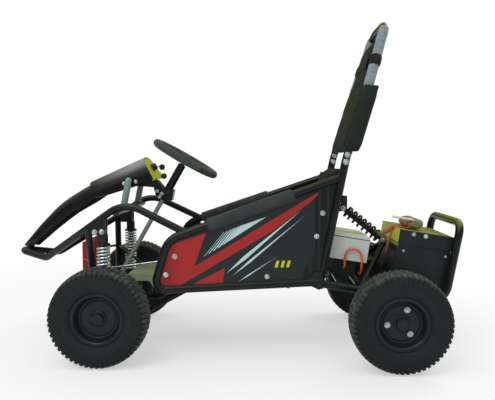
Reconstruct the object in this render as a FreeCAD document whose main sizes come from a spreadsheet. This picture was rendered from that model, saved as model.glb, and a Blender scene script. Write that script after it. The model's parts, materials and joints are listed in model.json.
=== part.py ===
import FreeCAD, Part
import Sketcher
import math
import os

# Child-size electric dune buggy, in its own frame.
# x runs to the rear, y to the driver's right, z up; the floor is z = 0 and the overall box is centred on
# x = y = 0.

doc = FreeCAD.newDocument("dune_buggy")
Vector = FreeCAD.Vector

# Driving sizes in millimetres and degrees; names that end in share are plain ratios.
# A reach is measured forward from the front axle, a lag rearward from it, and a lead forward from the rear
# axle.
SIZES = [
    ("wheelbase", 987.0),
    ("front_overhang", 386.0),
    ("rear_overhang", 260.0),
    ("front_track", 599.0),
    ("rear_track", 645.0),
    ("fit_gap", 0.1),
    ("overrun", 3.0),
    ("sheet_metal", 3.0),
    ("plate", 5.0),

    # Wheels
    ("tyre_diameter", 330.0),
    ("tyre_width", 115.0),
    ("tread_half_width", 42.0),
    ("shoulder_radius", 151.0),
    ("tread_radius", 157.0),
    ("lug_length", 24.0),
    ("lug_count", 20.0),
    ("bead_radius", 78.0),
    ("rim_flange_radius", 88.0),
    ("rim_width", 92.0),
    ("rim_wall", 4.0),
    ("disc_inset", 24.0),
    ("hub_radius", 26.0),
    ("hub_length", 56.0),
    ("hub_cap_radius", 21.0),
    ("hub_cap_height", 12.0),
    ("spindle_radius", 9.0),
    ("rear_axle_radius", 12.5),

    # Frame tubes
    ("main_tube_radius", 14.0),
    ("nose_tube_radius", 12.5),
    ("post_tube_radius", 12.0),
    ("keel_tube_radius", 11.0),

    # Side frames
    ("rail_height", 245.0),
    ("rail_rear_height", 260.0),
    ("side_half_width", 250.0),
    ("riser_foot_lag", 170.5),
    ("riser_top_lag", 220.0),
    ("riser_top_height", 417.6),
    ("side_bend_radius", 80.0),
    ("foot_bend_radius", 32.0),
    ("bar_end_height", 627.0),
    ("rest_start_lag", 352.0),
    ("rest_end_lag", 646.0),
    ("right_rest_shift", 78.0),
    ("rest_radius", 22.0),

    # Roll hoop
    ("hoop_half_width", 172.0),
    ("hoop_foot_lead", 248.0),
    ("hoop_foot_height", 252.0),
    ("hoop_joint_lead", 160.0),
    ("hoop_joint_height", 690.0),
    ("hoop_top_lead", 18.9),
    ("hoop_top_height", 1179.0),
    ("hoop_knee_share", 0.409),
    ("hoop_knee_radius", 200.0),
    ("hoop_top_half_width", 104.0),
    ("hoop_corner_radius", 60.0),
    ("sleeve_radius", 18.0),
    ("sleeve_foot_share", 0.5276),
    ("sleeve_top_share", 0.863),
    ("hoop_cross_height", 552.0),
    ("hoop_cross_setback", 19.0),

    # Nose
    ("nose_half_width", 68.0),
    ("nose_corner_reach", 265.5),
    ("nose_corner_height", 319.5),
    ("nose_tip_height", 346.0),
    ("nose_tip_bend", 30.0),
    ("nose_corner_bend", 40.0),
    ("nose_joint_share", 0.32),
    ("shock_tab_length", 54.0),
    ("shoulder_inset", 96.5),
    ("shoulder_reach", 65.0),
    ("shoulder_height", 449.0),
    ("peak_inset", 77.5),
    ("peak_lag", 66.5),
    ("peak_height", 542.0),
    ("rail_end_lag", 285.5),
    ("rail_end_height", 437.0),
    ("rail_end_half_width", 242.0),
    ("peak_bend_radius", 110.0),
    ("shoulder_bend_radius", 120.0),

    # Front subframe
    ("post_foot_inset", 139.5),
    ("post_foot_reach", 51.5),
    ("subframe_height", 135.0),
    ("keel_half_width", 100.0),
    ("keel_knee_lag", 122.0),
    ("keel_end_lag", 322.0),
    ("cross_height", 248.0),
    ("member_tube_radius", 8.0),
    ("front_member_lag", 185.5),
    ("middle_member_lag", 450.5),
    ("rear_member_lag", 630.0),
    ("floor_post_lag", 90.0),
    ("floor_post_radius", 8.0),
    ("keel_bend_radius", 60.0),
    ("guard_reach", 109.5),
    ("guard_half_width", 130.0),
    ("guard_top_height", 388.0),
    ("guard_bottom_height", 255.0),
    ("guard_flange", 20.0),
    ("guard_arm_radius", 5.0),
    ("guard_arm_drop", 58.0),

    # Front suspension and steering
    ("kingpin_inset", 63.5),
    ("kingpin_radius", 6.0),
    ("knuckle_radius", 11.0),
    ("knuckle_height", 84.0),
    ("ear_width", 34.0),
    ("arm_tube_radius", 9.0),
    ("arm_spread", 70.0),
    ("bush_radius", 11.0),
    ("bush_length", 30.0),
    ("steer_arm_length", 62.0),
    ("steer_arm_rise", 16.0),
    ("steer_arm_width", 8.0),
    ("steer_arm_inset", 3.0),
    ("tie_rod_radius", 5.0),
    ("tie_rod_end_radius", 8.0),
    ("pitman_length", 30.0),
    ("shock_inset", 93.5),
    ("shock_reach", 12.0),
    ("shock_top_height", 438.0),
    ("shock_foot_height", 168.0),
    ("shock_eye_radius", 12.0),
    ("shock_eye_width", 18.0),
    ("damper_radius", 11.0),
    ("shock_neck_radius", 8.0),
    ("shock_cap_radius", 17.0),
    ("spring_radius", 20.4),
    ("spring_wire_radius", 4.0),
    ("spring_top_drop", 46.0),
    ("spring_foot_height", 221.0),
    ("spring_turns", 14.0),

    # Steering wheel and column
    ("wheel_hub_lag", 248.5),
    ("wheel_hub_height", 690.0),
    ("column_angle", 60.3),
    ("steering_wheel_radius", 135.0),
    ("steering_grip_radius", 14.0),
    ("steering_hub_radius", 26.0),
    ("steering_hub_drop", 22.0),
    ("spoke_width", 24.0),
    ("column_tube_radius", 15.0),
    ("column_tube_start", 5.0),
    ("column_tube_length", 137.0),
    ("shaft_radius", 8.5),
    ("shaft_length", 553.1),
    ("foot_bearing_height", 236.0),
    ("foot_bearing_reach", 63.5),

    # Fairing
    ("fairing_wall", 3.0),
    ("hood_front_reach", 74.5),
    ("hood_front_floor", 545.0),
    ("hood_front_height", 66.0),
    ("hood_front_half_width", 88.0),
    ("hood_front_pitch", 28.0),
    ("hood_rear_lag", 146.5),
    ("hood_rear_floor", 614.0),
    ("hood_rear_height", 95.0),
    ("hood_rear_half_width", 102.0),
    ("hood_rear_pitch", 31.0),
    ("hood_brow_share", 0.42),
    ("beak_brow_share", 0.8),
    ("beak_tip_reach", 329.5),
    ("beak_tip_floor", 352.0),
    ("beak_tip_half_width", 28.0),
    ("beak_tip_height", 44.0),
    ("beak_tip_pitch", 80.0),
    ("beak_lip_reach", 307.5),
    ("beak_lip_floor", 374.0),
    ("beak_lip_half_width", 46.0),
    ("beak_lip_height", 40.0),
    ("beak_lip_pitch", 62.0),
    ("beak_low_reach", 256.5),
    ("beak_low_floor", 420.0),
    ("beak_low_half_width", 60.0),
    ("beak_low_height", 46.2),
    ("beak_low_pitch", 45.0),
    ("beak_middle_reach", 182.5),
    ("beak_middle_floor", 477.0),
    ("beak_middle_half_width", 72.0),
    ("beak_middle_height", 56.8),
    ("beak_middle_pitch", 38.0),
    ("beak_high_reach", 110.5),
    ("beak_high_floor", 520.0),
    ("beak_high_half_width", 82.0),
    ("beak_high_height", 60.4),
    ("beak_high_pitch", 32.0),
    ("beak_end_inset", 4.0),
    ("beak_end_step", 10.0),
    ("dash_thickness", 6.0),
    ("dash_post_half_width", 114.0),
    ("dash_post_lag", 36.0),
    ("dash_post_top_lag", 57.0),
    ("dash_post_top_height", 622.0),
    ("dash_cross_height", 505.0),
    ("dash_bar_rise", 11.0),
    ("dash_bar_radius", 9.0),
    ("lock_radius", 14.0),
    ("lock_length", 18.0),

    # Cockpit
    ("floor_thickness", 2.5),
    ("toe_front_lag", 36.0),
    ("toe_lag", 140.0),
    ("toe_inset", 134.5),
    ("seat_half_width", 150.0),
    ("seat_front_lag", 470.0),
    ("seat_rear_lag", 700.0),
    ("seat_thickness", 98.0),
    ("back_low_half_width", 146.0),
    ("back_low_front", 45.0),
    ("back_low_depth", 46.0),
    ("back_low_brow", 40.0),
    ("back_step_height", 664.0),
    ("back_high_half_width", 193.0),
    ("back_high_front", 18.0),
    ("back_high_depth", 54.0),
    ("back_high_foot_height", 712.0),
    ("jacket_top_share", 0.5194),
    ("headrest_top_share", 0.8793),
    ("headrest_depth", 30.0),
    ("seat_tab_radius", 8.0),
    ("pedal_reach", 7.0),
    ("pedal_inset", 149.5),
    ("pedal_height", 300.0),
    ("pedal_length", 70.0),
    ("pedal_width", 50.0),
    ("pedal_arm_radius", 6.0),
    ("brake_rod_radius", 3.5),
    ("brake_lever_height", 326.0),

    # Rear unit
    ("rear_frame_half_width", 160.0),
    ("arm_pitch", 8.6),
    ("rear_corner_lag", 195.5),
    ("rear_corner_bend", 60.0),
    ("bumper_height", 468.0),
    ("bumper_corner_radius", 42.0),
    ("rear_box_start", 42.0),
    ("rear_box_length", 188.0),
    ("rear_box_half_width", 138.0),
    ("rear_box_height", 161.0),
    ("lid_height", 50.0),
    ("lid_overhang", 2.0),
    ("rear_lid_height", 443.0),
    ("pale_box_lead", 211.0),
    ("pale_box_length", 155.0),
    ("pale_box_height", 92.0),
    ("pale_box_half_width", 110.0),
    ("pale_box_top_height", 430.0),
    ("controller_lead", 191.5),
    ("controller_length", 90.0),
    ("controller_half_width", 90.0),
    ("controller_height", 62.0),
    ("motor_radius", 50.0),
    ("motor_length", 120.0),
    ("motor_lead", 48.5),
    ("motor_height", 270.0),
    ("motor_plate_width", 50.0),
    ("tray_bar_radius", 9.0),
    ("front_tray_lead", 176.5),
    ("middle_tray_lead", 110.0),
    ("box_tray_lag", 84.0),
    ("box_tray_spacing", 80.0),
    ("roll_radius", 17.0),
    ("roll_length", 170.0),
    ("roll_lag", 80.0),
    ("cable_radius", 4.0),
    ("cable_half_width", 122.0),
    ("cable_top_height", 368.0),
    ("cable_span", 62.0),
    ("bearing_radius", 28.0),
    ("bearing_width", 26.0),
    ("sprocket_radius", 44.0),
    ("sprocket_thickness", 4.0),
    ("sprocket_side", 84.0),
    ("brake_disc_radius", 45.0),
    ("brake_disc_thickness", 4.0),
    ("rear_shock_top_lead", 143.0),
    ("rear_shock_top_height", 506.0),
    ("rear_shock_foot_lag", 8.0),
    ("rear_shock_foot_height", 386.0),
    ("rear_spring_radius", 19.0),
    ("rear_spring_wire_radius", 4.5),
    ("rear_spring_turns", 6.0),
    ("strut_radius", 9.0),
    ("strut_foot_lead", 104.0),
    ("gusset_reach", 58.0),
    ("gusset_rise", 46.0),
    ("gusset_drop", 18.0),
    ("gusset_thickness", 4.0),
    ("pivot_bolt_radius", 10.0),
    ("pivot_bolt_length", 8.0),
]

sheet = doc.addObject("Spreadsheet::Sheet", "Sizes")
for row, (alias, value) in enumerate(SIZES, start=1):
    sheet.set("A%d" % row, alias)
    sheet.set("B%d" % row, str(value))
    sheet.setAlias("B%d" % row, alias)
doc.recompute()


def size(alias):
    return float(sheet.get(alias))


# Places worked out from the driving sizes
front_end = -(size("front_overhang") + size("wheelbase") + size("rear_overhang")) / 2
front_axle = front_end + size("front_overhang")
rear_axle = front_axle + size("wheelbase")
rear_end = rear_axle + size("rear_overhang")
axle_height = size("tyre_diameter") / 2
LEFT, RIGHT = -1, 1
SIDES = (("left", LEFT), ("right", RIGHT))
gap = size("fit_gap")
overrun = size("overrun")
main_tube = size("main_tube_radius")
nose_tube = size("nose_tube_radius")

nodes = []


def publish(name, feature):
    """Gives a sub-part its label and adds it to the list that is written out."""
    feature.Label = name
    nodes.append(feature)
    return feature


def piece(name, shape):
    feature = doc.addObject("Part::Feature", name)
    feature.Shape = shape
    return publish(name, feature)


def unit(vector):
    copy = Vector(vector)
    copy.normalize()
    return copy


def bent_path(points, radii):
    """Straight runs joined by tangent arcs: one radius for each inner point."""
    edges = []
    start = points[0]
    for before, corner, after, radius in zip(points, points[1:], points[2:], radii):
        into = unit(before - corner)
        out = unit(after - corner)
        half_turn = into.getAngle(out) / 2
        setback = radius / math.tan(half_turn)
        enter = corner + into * setback
        leave = corner + out * setback
        bisector = unit(into + out)
        centre = corner + bisector * (radius / math.sin(half_turn))
        middle = centre - bisector * radius
        edges.append(Part.LineSegment(start, enter).toShape())
        edges.append(Part.Arc(enter, middle, leave).toShape())
        start = leave
    edges.append(Part.LineSegment(start, points[-1]).toShape())
    return Part.Wire(edges)


def bent_tube(points, radii, radius):
    """A round bar swept along a bent path."""
    path = bent_path(points, radii)
    ring = Part.makeCircle(radius, points[0], unit(points[1] - points[0]))
    return path.makePipeShell([Part.Wire(ring)], True, False)


def bar(start, end, radius):
    """A straight round bar between two points."""
    return Part.makeCylinder(radius, (end - start).Length, start, end - start)


def ring(centre, axis, outer, inner, length):
    """A short tube, centred on its middle."""
    start = centre - unit(axis) * (length / 2)
    return Part.makeCylinder(outer, length, start, axis).cut(
        Part.makeCylinder(inner, length + overrun * 2, start - unit(axis) * overrun, axis))


def block(low, high):
    return Part.makeBox(high.x - low.x, high.y - low.y, high.z - low.z, low)


def largest(shape):
    return max(shape.Solids, key=lambda solid: solid.Volume)


def prism(outline, depth):
    """A flat outline of points pushed along depth."""
    return Part.Face(Part.makePolygon(outline + outline[:1])).extrude(depth)


def fuse(shapes):
    result = shapes[0].multiFuse(shapes[1:])
    return result.removeSplitter()


def coil(foot, top, radius, wire, turns):
    """A round wire wound about the line from foot to top."""
    length = (top - foot).Length
    helix = Part.makeHelix(length / turns, length, radius)
    ring_wire = Part.Wire(Part.makeCircle(wire, Vector(radius, 0, 0), Vector(0, 1, 0)))
    shape = Part.Wire(helix).makePipeShell([ring_wire], True, True)
    turn = FreeCAD.Rotation(Vector(0, 0, 1), top - foot)
    shape.Placement = FreeCAD.Placement(foot, turn)
    return shape


# Sketch helpers for the bodies that are revolved or padded
def origin_part(body, role):
    return next(feature for feature in body.Origin.OriginFeatures if feature.Role == role)


def sketch_on(body, name, role):
    sketch = body.newObject("Sketcher::SketchObject", name)
    sketch.AttachmentSupport = (origin_part(body, role), [""])
    sketch.MapMode = "FlatFace"
    return sketch


def bound_outline(sketch, corners):
    """A closed outline of straight lines whose corners are tied to expressions of the sheet."""
    values = [(sketch.evalExpression(along), sketch.evalExpression(up)) for along, up in corners]
    values = [(float(along), float(up)) for along, up in values]
    count = len(corners)
    for index in range(count):
        here = Vector(*values[index], 0)
        there = Vector(*values[(index + 1) % count], 0)
        sketch.addGeometry(Part.LineSegment(here, there))
    for index in range(count):
        sketch.addConstraint(Sketcher.Constraint("Coincident", index, 2, (index + 1) % count, 1))
    for index, (along, up) in enumerate(corners):
        for kind, text, value in (("DistanceX", along, values[index][0]),
                                  ("DistanceY", up, values[index][1])):
            number = sketch.addConstraint(Sketcher.Constraint(kind, -1, 1, index, 1, value))
            sketch.setExpression("Constraints[%d]" % number, text)


def bind_place(feature, x="0", y="0", z="0"):
    feature.setExpression("Placement.Base.x", x)
    feature.setExpression("Placement.Base.y", y)
    feature.setExpression("Placement.Base.z", z)


FRONT_AXLE = "(-(Sizes.front_overhang + Sizes.wheelbase + Sizes.rear_overhang) / 2 + Sizes.front_overhang)"
REAR_AXLE = "(" + FRONT_AXLE + " + Sizes.wheelbase)"
AXLE_HEIGHT = "Sizes.tyre_diameter / 2"


# Wheels: each is made about its own y axis with its outer face towards +y, then turned and set on its axle
def tyre_body(name):
    body = doc.addObject("PartDesign::Body", name)
    bead = "(Sizes.rim_width / 2 - Sizes.rim_wall - Sizes.fit_gap)"
    half = "Sizes.tyre_width / 2"
    side_low = "(Sizes.rim_flange_radius + Sizes.fit_gap)"
    side_mid = "((Sizes.bead_radius + Sizes.tread_radius) / 2)"
    right = [("Sizes.bead_radius", bead), (side_low, bead),
             (side_low + " * 0.6 + " + side_mid + " * 0.4", half + " * 0.94"),
             (side_mid, half), ("Sizes.shoulder_radius - Sizes.rim_wall * 3", half),
             ("Sizes.shoulder_radius", "Sizes.tyre_width / 2 * 0.4 + Sizes.tread_half_width * 0.6"),
             ("Sizes.tread_radius", "Sizes.tread_half_width")]
    left = [(along, "-(" + up + ")") for along, up in reversed(right)]
    profile = sketch_on(body, name + "_profile", "XY_Plane")
    bound_outline(profile, right + left)
    turned = body.newObject("PartDesign::Revolution", name + "_carcass")
    turned.Profile = profile
    turned.ReferenceAxis = (profile, ["V_Axis"])
    turned.Angle = 360.0
    doc.recompute()
    for row, sign in (("outer", "1"), ("inner", "-1")):
        mould = sketch_on(body, name + "_lug_" + row, "XY_Plane")
        top = "Sizes.tyre_diameter / 2"
        low = "Sizes.shoulder_radius - Sizes.rim_wall"
        near = sign + " * Sizes.rim_wall"
        far = sign + " * (Sizes.tyre_width / 2 - Sizes.rim_wall)"
        brow = sign + " * Sizes.tread_half_width"
        bound_outline(mould, [(low, near), (top, near), (top, brow), (low, far)])
        if row == "inner":
            mould.setExpression("AttachmentOffset.Rotation.Axis.y", "1")
            mould.setExpression("AttachmentOffset.Rotation.Axis.z", "0")
            mould.setExpression("AttachmentOffset.Rotation.Angle", "180 / Sizes.lug_count")
        lug = body.newObject("PartDesign::Pad", name + "_block_" + row)
        lug.Profile = mould
        lug.Midplane = True
        lug.setExpression("Length", "Sizes.lug_length")
        doc.recompute()
        around = body.newObject("PartDesign::PolarPattern", name + "_row_" + row)
        around.Originals = [lug]
        around.Axis = (origin_part(body, "Y_Axis"), [""])
        around.Angle = 360.0
        around.setExpression("Occurrences", "Sizes.lug_count")
        body.Tip = around
        doc.recompute()
    return body


def rim_body(name, capped):
    body = doc.addObject("PartDesign::Body", name)
    edge = "Sizes.rim_width / 2"
    inner_edge = "(Sizes.rim_width / 2 - Sizes.rim_wall)"
    barrel = "(Sizes.bead_radius - Sizes.fit_gap)"
    bore = "(Sizes.bead_radius - Sizes.fit_gap - Sizes.rim_wall)"
    face = "(Sizes.rim_width / 2 - Sizes.disc_inset)"
    hub_in = "(Sizes.rim_width / 2 - Sizes.disc_inset - Sizes.hub_length)"
    hub_out = "(Sizes.rim_width / 2 - Sizes.disc_inset + Sizes.rim_wall)"
    shaft = "(Sizes.spindle_radius + Sizes.fit_gap)" if capped else "Sizes.rear_axle_radius"
    cap_in = hub_out
    cap_out = "(" + hub_out + " + Sizes.hub_cap_height)"
    corners = [
        (shaft, hub_in), ("Sizes.hub_radius", hub_in),
        ("Sizes.hub_radius", face + " - Sizes.rim_wall * 2"),
        (bore, face + " - Sizes.rim_wall"), (bore, "-" + inner_edge),
        (bore, "-" + edge), ("Sizes.rim_flange_radius", "-" + edge),
        ("Sizes.rim_flange_radius", "-" + inner_edge), (barrel, "-" + inner_edge),
        (barrel, inner_edge), ("Sizes.rim_flange_radius", inner_edge),
        ("Sizes.rim_flange_radius", edge), (bore, edge),
        (bore, face), ("Sizes.hub_radius", face + " - Sizes.rim_wall"),
        ("Sizes.hub_radius", hub_out), ("Sizes.hub_cap_radius", hub_out),
        ("Sizes.hub_cap_radius", cap_out), ("0", cap_out), ("0", cap_in), (shaft, cap_in)]
    profile = sketch_on(body, name + "_profile", "XY_Plane")
    bound_outline(profile, corners)
    turned = body.newObject("PartDesign::Revolution", name + "_turned")
    turned.Profile = profile
    turned.ReferenceAxis = (profile, ["V_Axis"])
    turned.Angle = 360.0
    doc.recompute()
    return body


def set_wheel(body, end, side, track):
    """Puts a wheel piece on its axle; on the left its outer face is turned to -y."""
    half_turn = 180.0 if side == LEFT else 0.0
    body.Placement = FreeCAD.Placement(Vector(0, 0, 0), FreeCAD.Rotation(Vector(0, 0, 1), half_turn))
    bind_place(body, end, "%d * Sizes.%s / 2" % (side, track), AXLE_HEIGHT)


for place, side in SIDES:
    for end, axle, track in (("front", FRONT_AXLE, "front_track"), ("rear", REAR_AXLE, "rear_track")):
        for kind, maker in (("tyre", tyre_body), ("rim", lambda name: rim_body(name, "front" in name))):
            name = "%s_%s_%s" % (end, kind, place)
            wheel_piece = publish(name, maker(name))
            set_wheel(wheel_piece, axle, side, track)


# Side frames: a bent tube from the roll hoop's foot forward, up the riser and back along the arm bar
riser_foot = front_axle + size("riser_foot_lag")
riser_top = front_axle + size("riser_top_lag")
hoop_foot = rear_axle - size("hoop_foot_lead")
hoop_joint = rear_axle - size("hoop_joint_lead")
hoop_top = rear_axle - size("hoop_top_lead")
half_hoop = size("hoop_half_width")


def leg_x(height):
    """Where the roll hoop's leg is at a height below its joint."""
    share = (height - size("hoop_foot_height")) / (size("hoop_joint_height") - size("hoop_foot_height"))
    return hoop_foot + share * (hoop_joint - hoop_foot)


bar_end = leg_x(size("bar_end_height"))
side_taper = (size("side_half_width") - half_hoop) / ((bar_end + hoop_foot) / 2 - riser_top)


def side_y(x):
    """Half width of the side frame's upright plane, which closes in towards the rear."""
    return size("side_half_width") - side_taper * (x - riser_top)


def side_point(x, z, side):
    return Vector(x, side * side_y(x), z)


def side_frame_shape(side):
    points = [side_point(hoop_foot, size("rail_rear_height"), side),
              side_point(riser_foot, size("rail_height"), side),
              side_point(riser_top, size("riser_top_height"), side),
              side_point(bar_end, size("bar_end_height"), side)]
    return bent_tube(points, [size("foot_bend_radius"), size("side_bend_radius")], main_tube)


def hoop_leg_shape(side):
    foot = Vector(hoop_foot, side * half_hoop, size("hoop_foot_height") - main_tube)
    joint = Vector(hoop_joint, side * half_hoop, size("hoop_joint_height"))
    return bar(foot, joint, main_tube)


# Roll hoop: two straight legs and a bent top that closes in, with a cross tube behind the seat for the
# rear shock
def hoop_x(height):
    """Where the upper hoop is at a height above the joint."""
    top = size("hoop_top_height") - main_tube
    share = (height - size("hoop_joint_height")) / (top - size("hoop_joint_height"))
    return hoop_joint + share * (hoop_top - hoop_joint)


def hoop_height(alias):
    """A height on the upper hoop, kept as a share of the way from its joint to its top."""
    joint = size("hoop_joint_height")
    return joint + size(alias) * (size("hoop_top_height") - joint)


def hoop_y(height):
    """Half width of the upper hoop at a height above its knee."""
    knee = hoop_height("hoop_knee_share")
    share = (height - knee) / (size("hoop_top_height") - main_tube - knee)
    return half_hoop - max(share, 0) * (half_hoop - size("hoop_top_half_width"))


def hoop_point(height, side):
    return Vector(hoop_x(height), side * hoop_y(height), height)


def hoop_shape():
    heights = [size("hoop_joint_height"), hoop_height("hoop_knee_share"), size("hoop_top_height") - main_tube]
    points = [hoop_point(height, LEFT) for height in heights]
    points += [hoop_point(height, RIGHT) for height in reversed(heights)]
    radii = [size("hoop_knee_radius"), size("hoop_corner_radius")]
    return bent_tube(points, radii + radii[::-1], main_tube)


cross_z = size("hoop_cross_height")
cross_x = leg_x(cross_z) + size("hoop_cross_setback")
post_radius = size("post_tube_radius")
plate = size("plate")
sheet_metal = size("sheet_metal")


def hoop_cross_shape():
    return bar(Vector(cross_x, LEFT * half_hoop, cross_z), Vector(cross_x, RIGHT * half_hoop, cross_z),
               post_radius)


def trimmed(shape, cutters):
    """What is left of a shape's main solid once its neighbours are taken out of it."""
    for cutter in cutters:
        shape = shape.cut(cutter)
    return largest(shape.removeSplitter())


def both_sides(name, maker):
    """One sub-part of two like solids, with the shape of each kept by its side."""
    shapes = {side: maker(side) for place, side in SIDES}
    piece(name, Part.makeCompound([shapes[LEFT], shapes[RIGHT]]))
    return shapes


# Frame: hoop, legs with their seat tabs, and the side frames that end on the legs
upper_hoop = hoop_shape()
piece("roll_hoop", upper_hoop)


def gusset(side):
    """The plate between leg and rail at the leg's foot, with the head of the frame's pivot bolt on it."""
    foot_z = size("hoop_foot_height")
    brow = foot_z + size("gusset_rise")
    thickness = Vector(0, side * size("gusset_thickness"), 0)
    start = side * (half_hoop + main_tube - size("gusset_thickness") / 2)
    outline = [Vector(hoop_foot - size("gusset_reach"), start, size("rail_rear_height")),
               Vector(leg_x(brow) - main_tube * 2, start, brow), Vector(leg_x(brow), start, brow),
               Vector(hoop_foot + main_tube, start, foot_z),
               Vector(hoop_foot, start, foot_z - size("gusset_drop"))]
    bolt_foot = Vector(hoop_foot, start, foot_z)
    bolt = bar(bolt_foot, bolt_foot + Vector(0, side * size("pivot_bolt_length"), 0),
               size("pivot_bolt_radius"))
    return [prism(outline, thickness), bolt]


def leg_with_tabs(side):
    leg = hoop_leg_shape(side)
    tabs = gusset(side)
    for height in (size("back_step_height") * 0.7, size("back_step_height") * 0.9):
        root = Vector(leg_x(height), side * half_hoop, height)
        tip = Vector(leg_x(height) - main_tube * 3, side * size("back_low_half_width"), height)
        tabs.append(bar(root, tip, size("seat_tab_radius")))
    return trimmed(fuse([leg] + tabs), [upper_hoop])


leg_shapes = both_sides("hoop_legs", leg_with_tabs)
side_shapes = both_sides("side_frames", lambda side: trimmed(side_frame_shape(side), [leg_shapes[side]]))
both_legs = [leg_shapes[LEFT], leg_shapes[RIGHT]]
both_frames = [side_shapes[LEFT], side_shapes[RIGHT]]


# Cross members between the side frames, the rear frame's hinge tube, and the hoop's cross tube with its
# shock tabs
def span(x, height, radius, cutters):
    """A tube across the buggy that ends on what it meets."""
    return trimmed(bar(Vector(x, LEFT * side_y(x), height), Vector(x, RIGHT * side_y(x), height), radius),
                   cutters)


member_lags = [size("front_member_lag"), size("keel_end_lag"), size("middle_member_lag"),
               size("rear_member_lag")]
member_radius = size("member_tube_radius")
members = [span(front_axle + lag, size("cross_height"), member_radius, both_frames) for lag in member_lags]
hinge = trimmed(bar(Vector(hoop_foot, LEFT * half_hoop, size("hoop_foot_height")),
                    Vector(hoop_foot, RIGHT * half_hoop, size("hoop_foot_height")), post_radius),
                both_legs + both_frames)
rear_top = Vector(rear_axle - size("rear_shock_top_lead"), 0, size("rear_shock_top_height"))
rear_foot = Vector(rear_axle + size("rear_shock_foot_lag"), 0, size("rear_shock_foot_height"))
eye_radius = size("shock_eye_radius")
half_eye = size("shock_eye_width") / 2
hoop_cross = hoop_cross_shape()
shock_tabs = []
for side in (LEFT, RIGHT):
    y = sorted((side * (half_eye + gap), side * (half_eye + gap + plate)))[0]
    shock_tabs.append(block(Vector(cross_x, y, rear_top.z - eye_radius),
                            Vector(rear_top.x + eye_radius * 1.2, y + plate, cross_z)))
hoop_cross = trimmed(fuse([hoop_cross] + shock_tabs), both_legs)
piece("cross_members", Part.makeCompound(members + [hinge, hoop_cross]))


# Nose: a rail each side, arched over its shock tower, and the pointed bumper that joins them
def nose_point(reach, half_width, height, side):
    return Vector(front_axle - reach, side * half_width, height)


def nose_corner(side):
    return nose_point(size("nose_corner_reach"), size("nose_half_width"), size("nose_corner_height"), side)


half_track = size("front_track") / 2
half_shoulder = half_track - size("shoulder_inset")
half_peak = half_track - size("peak_inset")
half_shock = half_track - size("shock_inset")


def rail_points(side):
    return [nose_corner(side),
            nose_point(size("shoulder_reach"), half_shoulder, size("shoulder_height"), side),
            nose_point(-size("peak_lag"), half_peak, size("peak_height"), side),
            nose_point(-size("rail_end_lag"), size("rail_end_half_width"), size("rail_end_height"), side)]


def rail_joint(side):
    """Where the bumper's tube ends and the rail's begins, past the corner's bend."""
    corner, shoulder = rail_points(side)[:2]
    return corner + (shoulder - corner) * size("nose_joint_share")


def nose_rail_shape(side):
    """The rail's tube with two tabs for the shock welded underneath it."""
    points = [rail_joint(side)] + rail_points(side)[1:]
    tube = bent_tube(points, [size("shoulder_bend_radius"), size("peak_bend_radius")], nose_tube)
    tabs = []
    tab_foot = size("shock_top_height") - eye_radius
    tab_top = size("shock_top_height") + eye_radius * 4
    for offset in (-(half_eye + gap + plate), half_eye + gap):
        y = side * half_shock + offset
        rear = front_axle - size("shock_reach") + eye_radius
        tabs.append(block(Vector(rear - size("shock_tab_length"), y, tab_foot),
                          Vector(rear, y + plate, tab_top)))
    above = prism(tab_roof(side), Vector(0, side * tab_foot, 0))
    tabs = [tab.cut(above) for tab in tabs]
    return trimmed(fuse([tube] + tabs), [side_shapes[side]])


def tab_roof(side):
    """What lies above the rail's centre line over the shock, as an upright outline beside the middle."""
    shoulder, peak = rail_points(side)[1:3]
    rise = size("shock_top_height")
    start = shoulder + (shoulder - peak)
    return [Vector(start.x, 0, start.z), Vector(peak.x, 0, peak.z), Vector(peak.x, 0, peak.z + rise),
            Vector(start.x, 0, peak.z + rise)]


rail_shapes = both_sides("nose_rails", nose_rail_shape)
both_rails = [rail_shapes[LEFT], rail_shapes[RIGHT]]
square_share = (size("nose_half_width") / size("nose_tip_bend")) ** 2
tip_run = size("front_overhang") - nose_tube - size("nose_corner_reach")
spread = square_share * size("nose_tip_bend") - tip_run
tip_setback = (math.sqrt(spread ** 2 + (square_share - 1) * tip_run ** 2) - spread) / (square_share - 1)
nose_tip = Vector(front_end + nose_tube - tip_setback, 0, size("nose_tip_height"))
bumper_points = [rail_joint(LEFT), nose_corner(LEFT), nose_tip, nose_corner(RIGHT), rail_joint(RIGHT)]
bumper_radii = [size("nose_corner_bend"), size("nose_tip_bend"), size("nose_corner_bend")]
front_bumper = bent_tube(bumper_points, bumper_radii, nose_tube)
piece("front_bumper", front_bumper)

# Front subframe: a low cross tube, a post up to each rail, and two keel tubes that rise under the floor
foot_x = front_axle - size("post_foot_reach")
subframe_z = size("subframe_height")
floor_z = size("cross_height") + member_radius
half_foot = half_track - size("post_foot_inset")
keel_top = floor_z - size("keel_tube_radius") - gap
subframe = [bar(Vector(foot_x, -half_foot - post_radius, subframe_z),
                Vector(foot_x, half_foot + post_radius, subframe_z), post_radius)]
keel_end = front_axle + size("keel_end_lag")
for side in (LEFT, RIGHT):
    subframe.append(bar(Vector(foot_x, side * half_foot, subframe_z),
                        nose_point(size("shoulder_reach"), half_shoulder, size("shoulder_height"), side),
                        post_radius))
    y = side * size("keel_half_width")
    subframe.append(bent_tube([Vector(foot_x, y, subframe_z),
                               Vector(front_axle + size("keel_knee_lag"), y, subframe_z),
                               Vector(keel_end, y, keel_top)],
                              [size("keel_bend_radius")], size("keel_tube_radius")))
    prop_x = front_axle + size("floor_post_lag")
    subframe.append(bar(Vector(prop_x, y, subframe_z), Vector(prop_x, y, floor_z), size("floor_post_radius")))
bearing_z = size("foot_bearing_height")
half_ear = size("ear_width") / 2
subframe.append(block(Vector(foot_x - post_radius, -half_ear, subframe_z),
                      Vector(foot_x - post_radius + plate, half_ear, bearing_z)))
subframe.append(block(Vector(foot_x - post_radius, -half_ear, bearing_z),
                      Vector(foot_x + size("foot_bearing_reach"), half_ear, bearing_z + plate)))
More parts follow.
